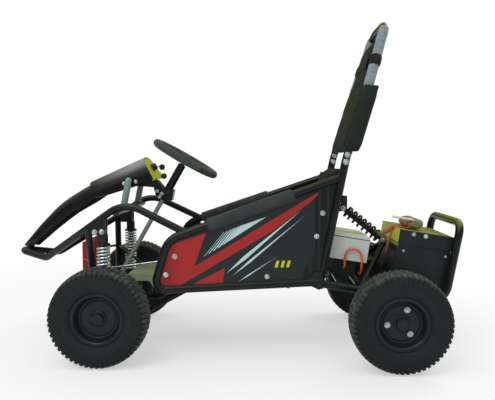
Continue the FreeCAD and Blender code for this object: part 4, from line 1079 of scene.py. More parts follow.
@dataclass
class Studio:
    """A pale floor, a plain world and soft lamps, with a lime screen behind that only reflections show."""

    half_floor: float = 30.0
    floor_shade: float = 0.95
    floor_fade: tuple[float, float] = (0.9, 2.6)
    floor_glow: float = 0.5
    world_light: float = 0.72
    screen: Point = (0.10, 0.82, 0.56)
    screen_edge: tuple[float, float] = (0.62, 0.90)
    screen_colour: Colour = (0.66, 0.72, 0.08)
    screen_light: float = 0.08
    mirror_rise: tuple[float, float] = (0.15, 0.85)
    mirror_low: float = 0.28
    mirror_high: float = 1.1
    lamps: list[tuple[Point, Point, float, float]] = field(default_factory=lambda: [
        ((-1.2, -2.2, 3.0), (0.0, 0.0, 0.4), 2.4, 46.0), ((2.4, 1.6, 2.6), (0.1, 0.0, 0.4), 2.0, 30.0)])

    def build(self) -> None:
        """Makes the floor, the world and the lamps."""
        scene = bpy.context.scene
        scene.view_settings.view_transform = "Standard"
        self.floor()
        self.world()
        for number, (place, target, size, power) in enumerate(self.lamps):
            lamp = bpy.data.lights.new("lamp_%d" % number, "AREA")
            lamp.size = size
            lamp.energy = power
            item = bpy.data.objects.new("lamp_%d" % number, lamp)
            item.location = place
            item.rotation_euler = Vector(np.subtract(target, place)).to_track_quat("-Z", "Y").to_euler()
            scene.collection.objects.link(item)

    def floor(self) -> None:
        """A flat sheet that fades into plain white away from the buggy, where the camera sees it."""
        tree = Tree("pale_floor")
        x, y, _ = tree.axes(tree.place())
        away = tree.sum("SQRT", tree.sum("ADD", tree.sum("MULTIPLY", x, x), tree.sum("MULTIPLY", y, y)))
        tree.set(Base_Color=(self.floor_shade,) * 3, Roughness=0.9, Specular_IOR_Level=0.0)
        glow = tree.put("Emission")
        glow.inputs["Strength"].default_value = 1.0
        mixed = tree.put("MixShader")
        seen = tree.put("LightPath").outputs["Is Camera Ray"]
        fade = tree.span(away, *self.floor_fade, self.floor_glow, 1.0, smooth=True)
        tree.feed(mixed.inputs[0], tree.sum("MULTIPLY", seen, fade))
        tree.links.new(tree.shader.outputs[0], mixed.inputs[1])
        tree.links.new(glow.outputs[0], mixed.inputs[2])
        tree.links.new(mixed.outputs[0], tree.nodes["Material Output"].inputs[0])
        half = self.half_floor
        corners = [(-half, -half, 0), (half, -half, 0), (half, half, 0), (-half, half, 0)]
        mesh = bpy.data.meshes.new("floor")
        mesh.from_pydata(corners, [], [(0, 1, 2, 3)])
        mesh.materials.append(tree.material)
        item = bpy.data.objects.new("floor", mesh)
        bpy.context.scene.collection.objects.link(item)

    def ramp(self, tree: bpy.types.NodeTree, source: bpy.types.NodeSocket, span: tuple[float, float],
             result: tuple[float, float], kind: str = "SMOOTHSTEP") -> bpy.types.NodeSocket:
        """Maps a range of a value onto another, clamped.

        Args:
            tree: the world's node tree.
            source: the value's socket.
            span: the range that it comes from.
            result: the range that it goes to.
            kind: how it runs between them, by the node's own name.

        Returns:
            The mapped value.
        """
        node = tree.nodes.new("ShaderNodeMapRange")
        node.interpolation_type = kind
        tree.links.new(source, node.inputs["Value"])
        for name, value in zip(("From Min", "From Max", "To Min", "To Max"), (*span, *result)):
            node.inputs[name].default_value = value
        return node.outputs["Result"]

    def world(self) -> None:
        """Makes the world: white to the camera, plain as a light, and a pale sky and the screen in gloss."""
        world = bpy.data.worlds.new("studio")
        bpy.context.scene.world = world
        world.use_nodes = True
        tree = world.node_tree
        nodes, links = tree.nodes, tree.links
        path = nodes.new("ShaderNodeLightPath")
        looked = self.ramp(tree, path.outputs["Is Camera Ray"], (0.0, 1.0), (self.world_light, 1.0), "LINEAR")
        direction = nodes.new("ShaderNodeTexCoord").outputs["Generated"]
        parts = nodes.new("ShaderNodeSeparateXYZ")
        links.new(direction, parts.inputs[0])
        sky = self.ramp(tree, parts.outputs["Z"], self.mirror_rise, (self.mirror_low, self.mirror_high))
        strength = nodes.new("ShaderNodeMix")
        links.new(path.outputs["Is Glossy Ray"], strength.inputs[0])
        links.new(looked, strength.inputs[2])
        links.new(sky, strength.inputs[3])
        toward = nodes.new("ShaderNodeVectorMath")
        toward.operation = "DOT_PRODUCT"
        links.new(direction, toward.inputs[0])
        toward.inputs[1].default_value = tuple(unit(self.screen))
        seen = self.ramp(tree, toward.outputs["Value"], self.screen_edge, (0.0, 1.0))
        mirrored = nodes.new("ShaderNodeMath")
        mirrored.operation = "MULTIPLY"
        links.new(seen, mirrored.inputs[0])
        links.new(path.outputs["Is Glossy Ray"], mirrored.inputs[1])
        colour = nodes.new("ShaderNodeMix")
        colour.data_type = "RGBA"
        colour.inputs[6].default_value = (1, 1, 1, 1)
        colour.inputs[7].default_value = (*self.screen_colour, 1)
        links.new(mirrored.outputs[0], colour.inputs[0])
        brighter = nodes.new("ShaderNodeMath")
        brighter.operation = "MULTIPLY_ADD"
        links.new(mirrored.outputs[0], brighter.inputs[0])
        brighter.inputs[1].default_value = self.screen_light
        links.new(strength.outputs[0], brighter.inputs[2])
        background = nodes["Background"]
        links.new(colour.outputs[2], background.inputs["Color"])
        links.new(brighter.outputs[0], background.inputs["Strength"])


@dataclass
class Paintwork:
    """Gives each carried-over node the finish of its material slot."""

    finishes: dict[str, object] = field(default_factory=lambda: {
        # black tubes: the olive on faces that look up and the yellow-green on the rear bar's top are painted
        # reflections
        "black_tube": Coating(
            "black_tube", (0.0050, 0.0075, 0.0072), (0.0085, 0.0115, 0.0105), 0.26, specular=0.24,
            top_sheen_colour=(0.036, 0.043, 0.026), top_share=0.4,
            sheen_patches=(SheenPatch((0.24, 0.25, 0.006), 0.9, UP, behind=0.6, above=0.45, below=0.60),)),
        "red_paint": Coating("red_paint", (0.36, 0.018, 0.020), (0.30, 0.013, 0.016), 0.4, specular=0.25),
        "floor_paint": Coating("floor_paint", (0.15, 0.18, 0.135), (0.24, 0.28, 0.20), 0.5, mottle=9.0),
        "zinc_steel": BareMetal("zinc_steel", (0.62, 0.66, 0.66), 0.28),
        "axle_steel": BareMetal("axle_steel", (0.30, 0.32, 0.31), 0.4),
        "foam": Foam("foam", (0.024, 0.036, 0.035), (0.040, 0.056, 0.054)),
        "grip_foam": Foam("grip_foam", (0.032, 0.042, 0.038), (0.074, 0.088, 0.070)),
        "panel_print": PanelPrint("panel_print"),
        "seat_fabric": Hide("seat_fabric", (0.012, 0.017, 0.016), (0.018, 0.023, 0.018)),
        "sleeve_fabric": Weave("sleeve_fabric", (0.10, 0.135, 0.15), (0.30, 0.35, 0.36)),
        # battery box: the yellow front, the olive-yellow lid top and the olive on faces that look up are
        # painted reflections
        "black_plastic": Coating(
            "black_plastic", (0.009, 0.014, 0.014), (0.013, 0.019, 0.019), 0.5, depth=0.0002, specular=0.25,
            top_sheen_colour=(0.04, 0.045, 0.025), top_share=0.5,
            sheen_patches=(
                SheenPatch((0.60, 0.60, 0.010), 0.95, AHEAD, behind=0.55, above=0.385, below=0.46, flat=True),
                SheenPatch((0.42, 0.41, 0.06), 0.9, UP, behind=0.55, above=0.39, below=0.47, flat=True))),
        # pale case: the yellow-green on faces that look up is a painted reflection
        "grey_plastic": Coating("grey_plastic", (0.52, 0.58, 0.55), (0.58, 0.64, 0.60), 0.45,
                                top_sheen_colour=(0.70, 0.80, 0.50), top_share=0.8),
        "motor_shell": Coating("motor_shell", (0.010, 0.013, 0.013), (0.015, 0.018, 0.017), 0.4,
                               specular=0.3),
        "orange_cable": Coating("orange_cable", (0.80, 0.13, 0.03), (0.62, 0.09, 0.02), 0.4, mottle=40.0),
        "olive_fabric": Weave("olive_fabric", (0.12, 0.12, 0.035), (0.26, 0.25, 0.11)),
        "silver_spring": BareMetal("silver_spring", (0.80, 0.84, 0.84), 0.22),
        "black_spring": Coating("black_spring", (0.010, 0.013, 0.012), (0.018, 0.021, 0.017), 0.3, coat=0.1),
        "column_paint": SplitPaint("column_paint", (0.012, 0.016, 0.015), (0.23, 0.29, 0.26), 0.560),
        "dash_paint": SplitPaint("dash_paint", (0.19, 0.26, 0.23), (0.012, 0.016, 0.015), 0.5185),
        # fairing: the olive on faces that look up is a painted reflection; the whitish patch on the hood's
        # top is a painted highlight
        "fairing_plastic": Coating(
            "fairing_plastic", (0.005, 0.0065, 0.006), (0.007, 0.0085, 0.0070), 0.28, specular=0.14,
            depth=0.00003, top_sheen_colour=(0.036, 0.040, 0.015), top_share=0.4,
            sheen_patches=(SheenPatch((0.46, 0.46, 0.51), 0.75, UP, behind=-0.44, above=0.50, below=0.90, soft=0.07),)),
        "dash_yellow": Coating("dash_yellow", (0.55, 0.60, 0.006), (0.63, 0.68, 0.012), 0.35, specular=0.25),
        "rim_paint": Coating("rim_paint", (0.007, 0.010, 0.011), (0.010, 0.014, 0.015), 0.36, specular=0.25),
    })
    made: dict[str, bpy.types.Material] = field(default_factory=dict)

    def finish(self, slot: str) -> bpy.types.Material:
        """Looks up a slot's material, which is built once.

        Args:
            slot: the slot's name.

        Returns:
            The material.
        """
        if slot not in self.made:
            self.made[slot] = self.finishes[slot].make()
        return self.made[slot]

    def dress(self, frame: dict) -> None:
        """Puts the slots' materials on the carried-over nodes; tyres get theirs where they are made.
        """
        for row in frame["record"]["subparts"]:
            slot = row["material_slot"]
            if slot in self.finishes:
                mesh = frame["nodes"][row["node"]].data
                mesh.materials.clear()
                mesh.materials.append(self.finish(slot))
                LOG.info("node %s: %s", row["node"], slot)


@dataclass
class Tyre:
    """One tyre: a moulded carcass with ribs down its walls and staggered tread blocks.

    The outline's points are a place along the axle and a radius. A block's four are a place along the axle
    and a drop below the crown, for its foot's near and far edge and then for its top's.
    """

    name: str
    body: str
    centre: Point
    side: Side
    crown: float = 0.1650
    outline: Profile = (
        (0.0419, 0.0785), (0.0419, 0.0880), (0.0470, 0.0905), (0.0525, 0.0980), (0.0556, 0.1080),
        (0.0566, 0.1150), (0.0564, 0.1172), (0.0575, 0.1182), (0.0575, 0.1200), (0.0562, 0.1212),
        (0.0558, 0.1330), (0.0536, 0.1440), (0.0500, 0.1515), (0.0440, 0.1570), (0.0300, 0.1602),
        (0.0120, 0.1612))
    bead: Profile = ((-0.0380, 0.0785), (0.0380, 0.0785))
    steps: int = 96
    blocks: int = 56
    block_share: float = 0.34
    skew_share: float = 0.28
    top_share: float = 0.8
    centre_block: Profile = ((0.002, 0.0090), (0.021, 0.0090), (0.003, 0.0), (0.020, 0.0006))
    shoulder_block: Profile = ((0.026, 0.0100), (0.0510, 0.0185), (0.027, 0.0010), (0.0490, 0.0058))
    wall_rib: Profile = ((0.0480, 0.0060), (0.0545, 0.0390), (0.0528, 0.0070), (0.0573, 0.0375))
    rubber: Colour = (0.010, 0.0145, 0.015)
    # paler tread colour: dust and a painted highlight on the blocks
    dust_and_sheen: Colour = (0.092, 0.100, 0.084)

    def carcass(self) -> Surface:
        """The wall and crown under the tread, turned about the axle.

        Returns:
            A closed ring.
        """
        inner = [(-along, radius) for along, radius in reversed(self.outline)]
        loop = [*self.outline, *inner, *self.bead, self.outline[0]]
        return lathe(loop, self.centre, (0, self.side.value, 0), self.steps)

    def block(self, places: Profile, half: float, skew: float) -> np.ndarray:
        """One block's corners.

        Args:
            places: its four places along the axle and drops below the crown.
            half: half the angle that its foot fills.
            skew: the angle by which its far edge is turned on.

        Returns:
            An 8 x 3 array of angle, place along the axle and radius: the foot's corners and then the top's.
        """
        rows = []
        for (near, far), angle in ((places[:2], half), (places[2:], half * self.top_share)):
            near_radius, far_radius = self.crown - near[1], self.crown - far[1]
            rows += [(-angle, near[0], near_radius), (angle, near[0], near_radius),
                     (angle + skew, far[0], far_radius), (-angle + skew, far[0], far_radius)]
        return np.array(rows)

    def blocks_at(self, angles: np.ndarray, corners: np.ndarray) -> Surface:
        """Copies of one block round the tyre.

        Each copy adds its own angle to the block's corners before they become x, y and z.

        Args:
            angles: the copies' angles.
            corners: the block's corners, as block() gives them.

        Returns:
            All the copies.
        """
        angle = angles[:, None] + corners[None, :, 0]
        radius = np.broadcast_to(corners[:, 2], angle.shape)
        along = np.broadcast_to(corners[:, 1], angle.shape)
        points = np.stack([radius * np.cos(angle), self.side.value * along, radius * np.sin(angle)], axis=-1)
        faces = BOX_FACES[None] + np.arange(len(angles))[:, None, None] * len(corners)
        return Surface(points.reshape(-1, 3) + np.array(self.centre), faces.reshape(-1, 4))

    def tread(self) -> Surface:
        """Two staggered rows of centre blocks, a row on each shoulder and ribs down each wall.

        Returns:
            All the blocks.
        """
        step = 2 * np.pi / self.blocks
        start = np.arange(self.blocks) * step
        half = step * self.block_share
        rows = []
        for sign, shift in ((-1, 0.0), (1, 0.5)):
            skew = step * self.skew_share * sign
            for corners, turn in ((self.block(self.centre_block, half, skew), shift),
                                  (self.block(self.shoulder_block, half, 0.0), shift + 0.5),
                                  (self.block(self.wall_rib, half, 0.0), shift + 0.5)):
                rows.append(self.blocks_at(start + turn * step, corners * np.array([1, sign, 1])))
        return Surface.merge(rows)

    def build(self) -> None:
        """Makes the carcass and its tread as one piece and lets it stand for the node."""
        rubber = TyreRubber(self.name + "_rubber", self.centre, self.rubber, self.dust_and_sheen).make()
        shape = Surface.merge([self.carcass(), self.tread()])
        item = add_piece(self.name + "_tread", shape, rubber, self.body, smooth=False)
        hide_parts(self.name)


@dataclass
class Rim:
    """One pressed wheel rim: rolled lips, a stepped dish, a hub and its cap, turned about the axle."""

    name: str
    body: str
    centre: Point
    side: Side
    bore: float
    cap: Profile = (
        (0.0385, 0.0), (0.0385, 0.0150), (0.0376, 0.0186), (0.0352, 0.0203), (0.0275, 0.0210),
        (0.0268, 0.0236), (0.0255, 0.0258), (0.0215, 0.0268))
    dish: Profile = (
        (0.0196, 0.0300), (0.0200, 0.0340), (0.0204, 0.0560), (0.0196, 0.0590), (0.0178, 0.0606),
        (0.0178, 0.0640), (0.0200, 0.0668), (0.0262, 0.0690), (0.0300, 0.0715), (0.0360, 0.0730),
        (0.0410, 0.0750))
    lip: Profile = (
        (0.0446, 0.0790), (0.0460, 0.0835), (0.0460, 0.0865), (0.0450, 0.0880), (0.0428, 0.0880),
        (0.0424, 0.0850), (0.0424, 0.0790), (0.0410, 0.0780))
    barrel: Profile = ((-0.0410, 0.0745), (0.0155, 0.0735), (0.0140, 0.0262), (-0.0340, 0.0260))
    hub_back: float = -0.0340
    hub_front: float = 0.0260
    steps: int = 80

    def build(self, paint: Paintwork) -> None:
        """Makes the rim and lets it stand for the node.

        Args:
            paint: the finishes.
        """
        inner_lip = [(-along, radius) for along, radius in reversed(self.lip)]
        hub = [(self.hub_back, self.bore), (self.hub_front, self.bore), (self.hub_front, 0.0)]
        outline = [*self.cap, *self.dish, *self.lip, *inner_lip, *self.barrel, *hub]
        shape = lathe(outline, self.centre, (0, self.side.value, 0), self.steps)
        item = add_piece(self.name + "_pressing", shape, paint.finish("rim_paint"), self.body)
        harden(item)
        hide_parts(self.name)


@dataclass(frozen=True)
class Station:
    """One arch across the buggy: its foot's place and height, its half width, rise and forward lean."""

    x: float
    floor: float
    half_width: float
    height: float
    pitch: float


@dataclass
class Fairing:
    """The hood, the beak ahead of it and the dash, as smooth shells through arches across the buggy."""

    wall: float = 0.003
    hood: tuple[Station, ...] = (
        Station(-0.505, 0.545, 0.088, 0.066, 28.0), Station(-0.284, 0.614, 0.102, 0.095, 31.0))
    beak: tuple[Station, ...] = (
        Station(-0.760, 0.352, 0.028, 0.0440, 80.0), Station(-0.738, 0.374, 0.046, 0.0400, 62.0),
        Station(-0.687, 0.420, 0.060, 0.0462, 45.0), Station(-0.613, 0.477, 0.072, 0.0568, 38.0),
        Station(-0.541, 0.520, 0.082, 0.0604, 32.0), Station(-0.505, 0.545, 0.084, 0.0560, 28.0))
    hood_power: float = 2.4
    beak_power: float = 2.7
    hood_rows: int = 24
    beak_rows: int = 14
    across: int = 48
    foot_taper: float = 5.0
    dash_thickness: float = 0.006
    lock_share: float = 0.5
    lock: Profile = ((-0.001, 0.0), (-0.001, 0.0140), (0.006, 0.0140), (0.008, 0.0125), (0.0165, 0.0120),
                     (0.0175, 0.0108), (0.0170, 0.0))
    key_head: Profile = ((-0.0020, 0.0), (-0.0020, 0.0095), (-0.0012, 0.0112), (0.0012, 0.0112),
                         (0.0020, 0.0095), (0.0020, 0.0))
    key_places: tuple[Point, ...] = ((-0.2720, 0.0, 0.6580), (-0.2650, 0.0, 0.6240))
    blade_span: tuple[float, float] = (0.017, 0.004)
    blade_end: Point = (-0.2800, 0.0, 0.6605)
    blade_radius: float = 0.0022
    ring_centre: Point = (-0.2690, 0.0, 0.6410)
    ring_radius: float = 0.0085
    ring_bow: float = 0.002
    ring_wire: float = 0.0009

    def rows(self, stations: tuple[Station, ...], count: int) -> np.ndarray:
        """Smooth rows of a station's five values.

        Between two stations each value follows the cubic whose slope at a station is half the step between
        its neighbours.

        Args:
            stations: the arches, from the front.
            count: rows to each gap.

        Returns:
            An array of rows and five values.
        """
        table = np.array([(row.x, row.floor, row.half_width, row.height, row.pitch) for row in stations])
        padded = np.concatenate([2 * table[:1] - table[1:2], table, 2 * table[-1:] - table[-2:-1]])
        place = np.linspace(0, len(table) - 1, (len(table) - 1) * count + 1)
        start = np.minimum(place.astype(int), len(table) - 2)
        share = (place - start)[:, None]
        before, here, there, after = (padded[start + step] for step in range(4))
        slope = (there - before) / 2
        next_slope = (after - here) / 2
        square, cube = share ** 2, share ** 3
        return ((2 * cube - 3 * square + 1) * here + (cube - 2 * square + share) * slope
                + (3 * square - 2 * cube) * there + (cube - square) * next_slope)

    def arch(self, rows: np.ndarray, inset: float, power: float) -> np.ndarray:
        """Points of the arches: |y / half width| to the power plus (rise / height) to the power is 1.

        The half width is less by the inset, but takes its full size back toward both feet, where an inner
        arch meets the outer one.

        Args:
            rows: the rows' five values.
            inset: how far inside the outer face.
            power: how square the arch's shoulders are.

        Returns:
            An array of rows, points across and three coordinates.
        """
        x, floor, half_width, height, pitch = (rows[:, [column]] for column in range(5))
        turn = np.linspace(np.pi, 0, self.across)[None]
        wall = inset * np.minimum(np.sin(turn) * self.foot_taper, 1.0)
        level = np.sign(np.cos(turn)) * np.abs(np.cos(turn)) ** (2 / power) * (half_width - wall)
        rise = np.abs(np.sin(turn)) ** (2 / power) * (height - inset)
        lean = np.radians(pitch)
        return np.stack([x - np.sin(lean) * rise, level + 0 * x, floor + np.cos(lean) * rise], axis=-1)

    def shell(self, rows: np.ndarray, power: float) -> Surface:
        """The outer and inner arches joined along both feet and both ends.

        Args:
            rows: the rows' five values.
            power: how square the arches' shoulders are.

        Returns:
            The shell.
        """
        outer = self.arch(rows, 0.0, power)
        inner = self.arch(rows, self.wall, power)
        body = Surface.grid(np.concatenate([outer, inner[:, ::-1]], axis=1), wrap_columns=True)
        ends = [Surface.grid(np.stack([outer[end], inner[end]])) for end in (0, -1)]
        return Surface.merge([body] + ends)

    def plate(self, row: np.ndarray, inset: float, push: np.ndarray) -> Surface:
        """A flat plate that fills one arch of the hood.

        Args:
            row: the arch's five values.
            inset: how far inside the hood's outer face its rim is.
            push: from one face to the other.

        Returns:
            The plate.
        """
        ring = self.arch(row[None], inset, self.hood_power)[0]
        middle = np.repeat(ring.mean(axis=0)[None], len(ring), axis=0)
        layers = np.stack([middle, ring, ring + push, middle + push])
        return Surface.grid(layers, wrap_columns=True)

    def build(self, paint: Paintwork) -> None:
        """Makes the hood with its front wall, the beak, the dash, the lock and its two keys.

        Args:
            paint: the finishes.
        """
        black = paint.finish("fairing_plastic")
        rows = self.rows(self.hood, self.hood_rows)
        front = math.radians(self.hood[0].pitch)
        push = np.array([math.cos(front), 0.0, math.sin(front)]) * self.wall
        hood_shape = Surface.merge([self.shell(rows, self.hood_power), self.plate(rows[0], 0.0, push)])
        hood = add_piece("hood_shell", hood_shape, black, "chassis")
        beak_shape = self.shell(self.rows(self.beak, self.beak_rows), self.beak_power)
        beak = add_piece("beak_shell", beak_shape, black, "chassis")
        for item, node in ((hood, "hood"), (beak, "beak")):
            harden(item)
            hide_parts(node)
        self.dash(paint, rows[-1])

    def dash(self, paint: Paintwork, row: np.ndarray) -> None:
        """The yellow dash inside the hood's rear end, with the lock, and two keys on a ring.

        Args:
            paint: the finishes.
            row: the five values of the hood's last arch.
        """
        rear = self.hood[-1]
        lean = math.radians(rear.pitch)
        out = np.array([math.cos(lean), 0.0, math.sin(lean)])
        up = np.array([-math.sin(lean), 0.0, math.cos(lean)])
        sheet = self.plate(row, self.wall, -out * self.dash_thickness)
        face = add_piece("dash_plate", sheet, paint.finish("dash_yellow"), "chassis")
        harden(face)
        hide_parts("dash_face")
        foot = np.array([rear.x, 0.0, rear.floor]) + up * rear.height * self.lock_share
        heads = [lathe(self.key_head, place, (0, 1, 0), 20) for place in self.key_places]
        black = Surface.merge([lathe(self.lock, tuple(foot), out, 28), *heads])
        lock = add_piece("lock_and_keys", black, paint.finish("black_plastic"), "chassis")
        end, start = self.blade_span
        tip = foot + out * end
        blade = pipe(np.array([tip - out * start, self.blade_end]), self.blade_radius, 8)
        turn = np.linspace(0, 2 * np.pi, 25)
        ring = np.stack([self.ring_centre[0] + self.ring_radius * np.cos(turn), self.ring_bow * np.sin(turn),
                         self.ring_centre[2] + self.ring_radius * np.sin(turn)], axis=-1)
        wire = pipe(ring, self.ring_wire, 8)
        metal = add_piece("keyring", Surface.merge([blade, wire]), paint.finish("zinc_steel"), "chassis")


@dataclass
class SoftPad:
    """A stuffed piece swollen from the space of one node."""

    node: str
    body: str = "chassis"
    voxel: float = 0.007
    soften: float = 0.5
    soften_steps: int = 8
    start_in: float = 0.004
    pressure: float = 4.0
    stiffness: float = 18.0
    frames: int = 20
    cap: float = 0.009
    fill: float = 0.7

    def build(self, frame: dict, finish: bpy.types.Material, slot: str) -> None:
        """Remeshes a copy of the node, swells it as cloth, caps how far its points move and smooths it.

        Args:
            finish: the pad's material.
            slot: the record's slot; not used.
        """
        mesh = frame["nodes"][self.node].data.copy()
        cleaner = bmesh.new()
        cleaner.from_mesh(mesh)
        bmesh.ops.remove_doubles(cleaner, verts=cleaner.verts, dist=WELD * 10)
        cleaner.to_mesh(mesh)
        cleaner.free()
        item = bpy.data.objects.new(self.node + "_pad", mesh)
        bpy.context.scene.collection.objects.link(item)
        remesh = item.modifiers.new("even", "REMESH")
        remesh.mode = "VOXEL"
        remesh.voxel_size = self.voxel
        self.apply(item)
        soften = item.modifiers.new("soften", "SMOOTH")
        soften.factor = self.soften
        soften.iterations = self.soften_steps
        self.apply(item)
        normals = self.read(item.data, "normal")
        rest = self.read(item.data) - normals * self.start_in
        self.write(item.data, rest)
        self.swell(item, rest, normals)
        item.data.materials.clear()
        item.data.materials.append(finish)
        item.data.polygons.foreach_set("use_smooth", np.full(len(item.data.polygons), True))
        finer = item.modifiers.new("finer", "SUBSURF")
        finer.levels = finer.render_levels = 1
        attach(item, self.body)
        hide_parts(self.node)
        LOG.info("pad %s: %d points", item.name, len(rest))

    def swell(self, item: bpy.types.Object, rest: np.ndarray, normals: np.ndarray) -> None:
        """Frames of cloth with pressure and no gravity, capped, kept from sinking inward, and applied.

        Args:
            item: the pad.
            rest: its points at the start.
            normals: which way is outward at each point.
        """
        cloth = item.modifiers.new("swell", "CLOTH")
        cloth.settings.use_pressure = True
        cloth.settings.uniform_pressure_force = self.pressure
        cloth.settings.effector_weights.gravity = 0.0
        cloth.settings.tension_stiffness = cloth.settings.compression_stiffness = self.stiffness
        cloth.collision_settings.use_collision = False
        scene = bpy.context.scene
        for number in range(1, self.frames + 1):
            scene.frame_set(number)
        moved = self.read(item.evaluated_get(bpy.context.evaluated_depsgraph_get()).data)
        item.modifiers.remove(cloth)
        scene.frame_set(1)
        shift = moved - rest
        reach = np.linalg.norm(shift, axis=1, keepdims=True)
        shift *= np.minimum(1.0, self.cap / np.maximum(reach, 1e-9))
        inward = np.minimum((shift * normals).sum(axis=1, keepdims=True), 0.0)
        self.write(item.data, rest + shift - inward * normals)

    def apply(self, item: bpy.types.Object) -> None:
        """Bakes the modifiers of a piece into its mesh.

        Args:
            item: the piece.
        """
        bpy.context.view_layer.update()
        baked = bpy.data.meshes.new_from_object(item.evaluated_get(bpy.context.evaluated_depsgraph_get()))
        item.modifiers.clear()
        item.data = baked

    def read(self, mesh: bpy.types.Mesh, what: str = "co") -> np.ndarray:
        """The mesh's points, or another vector of each point.

        Args:
            mesh: the mesh.
            what: the vector, by Blender's name.

        Returns:
            An array of rows of three.
        """
        values = np.zeros(len(mesh.vertices) * 3)
        mesh.vertices.foreach_get(what, values)
        return values.reshape(-1, 3)

    def write(self, mesh: bpy.types.Mesh, points: np.ndarray) -> None:
        """Sets the mesh's points."""
        mesh.vertices.foreach_set("co", points.ravel())
        mesh.update()


@dataclass
class Sleeves:
    """Foam sleeves on the arm bars and textured sleeves on the upper hoop."""

    rest_ends: dict[Side, tuple[float, float]] = field(default_factory=lambda: {
        Side.LEFT: (-0.0785, 0.2155), Side.RIGHT: (-0.1450, 0.1375)})
    rest_radius: float = 0.0220
    rest_wander: float = 0.0003
    tube_radius: float = 0.0142
    cover_ends: tuple[float, float] = (0.940, 1.150)
    cover_radius: float = 0.0180
    cover_wander: float = 0.0006
    rows: int = 60

    def sleeve(self, name: str, path: np.ndarray, outer: float, finish: bpy.types.Material,
               waves: float) -> bpy.types.Object:
        """A tube with rounded lips whose radius wanders a little, as a sum of two sines along it.

        Args:
            name: the piece's name.
            path: points along the tube that it covers.
            outer: its radius.
            finish: its material.
            waves: how far its radius wanders, in metres.

        Returns:
            The piece.
        """
        share = np.linspace(0, 1, len(path))
        lip = np.minimum(np.minimum(share, 1 - share) * len(path) / 2, 1.0)
        wander = waves * (np.sin(share * 23.0) * 0.5 + np.sin(share * 57.0 + 1.3) * 0.5 - 1.0)
        radius = self.tube_radius + (outer - self.tube_radius + wander) * np.sqrt(1 - (1 - lip) ** 2)
        return add_piece(name, pipe(path, radius, 28, Edge.OPEN), finish, "chassis")

    def build(self, paint: Paintwork) -> None:
        """Makes the four sleeves.

        Args:
            paint: the finishes.
        """
        for side in Side:
            place = side.name.lower()
            bar = ARM_BAR.line(np.linspace(*self.rest_ends[side], self.rows), side)
            foam = paint.finish("foam")
            rest = self.sleeve("arm_sleeve_" + place, bar, self.rest_radius, foam, self.rest_wander)
            tube = UPPER_HOOP.line(np.linspace(*self.cover_ends, self.rows), side)
            cloth = paint.finish("sleeve_fabric")
            cover = self.sleeve("hoop_cover_" + place, tube, self.cover_radius, cloth, self.cover_wander)
            if side is Side.RIGHT:
                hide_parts("arm_rests")
                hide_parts("hoop_sleeves")


@dataclass
class Luggage:
    """The rolled bundle strapped on the rear box: an oval roll of cloth with puckered ends and two straps."""

    centre: Point = (0.6700, 0.0, 0.4530)
    half_length: float = 0.085
    half_width: float = 0.0300
    half_height: float = 0.0190
    coarse_fold: float = 0.022
    fine_fold: float = 0.014
    end_power: float = 10.0
    mouth: float = 0.35
    dimple: float = 0.93
    strap_middles: tuple[float, float] = (-0.55, 0.50)
    strap_width: float = 0.014
    strap_scale: float = 1.06

    def skin(self, along: np.ndarray, swell: np.ndarray) -> np.ndarray:
        """Rings of the roll.

        At angle a of the ring at a share s of the half length, a point is the oval's point times swell, and
        rises and falls with folds that follow sin(3 a + 9 s) and sin(7 a - 5 s).

        Args:
            along: each ring's share of the half length, from -1 to 1.
            swell: each ring's scale.

        Returns:
            An array of rings, points and three coordinates.
        """
        turn = np.linspace(0, 2 * np.pi, 64, endpoint=False)[None]
        share = along[:, None]
        coarse = self.coarse_fold * np.sin(3 * turn + 9 * share)
        fine = self.fine_fold * np.sin(7 * turn - 5 * share)
        scale = swell[:, None] * (1 + coarse + fine)
        return np.stack([self.centre[0] + self.half_width * scale * np.cos(turn),
                         self.centre[1] + self.half_length * share + 0 * turn,
                         self.centre[2] + self.half_height * scale * np.sin(turn)], axis=-1)

    def build(self, paint: Paintwork) -> None:
        """Makes the roll and its straps; the roll's scale is the root of 1 less the share to the end's power.

        Args:
            paint: the finishes.
        """
        share = np.linspace(-1, 1, 70)
        end = (1 - np.abs(share) ** self.end_power) ** 0.5
        along = np.concatenate([share[:1] * self.dimple, share, share[-1:] * self.dimple])
        swell = np.concatenate([[0.0], np.maximum(end, self.mouth), [0.0]])
        shape = Surface.grid(self.skin(along, swell), wrap_columns=True)
        roll = add_piece("tool_bundle", shape, paint.finish("olive_fabric"), "chassis")
        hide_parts("tool_roll")
        half = self.strap_width / self.half_length / 2
        bands = []
        for middle in self.strap_middles:
            edge = middle + np.array([-half, -half, half, half])
            loop = self.skin(edge, np.array([1.0, self.strap_scale, self.strap_scale, 1.0]))
            bands.append(Surface.grid(loop, wrap_columns=True, wrap_rows=True))
        straps = add_piece("bundle_straps", Surface.merge(bands), paint.finish("orange_cable"), "chassis")


@dataclass(frozen=True)
class Strap:
    """One strap over the lid's front edge: where it starts, crosses the edge and ends across the buggy."""

    start: float
    edge: float
    end: float
    drop: float
    width: float


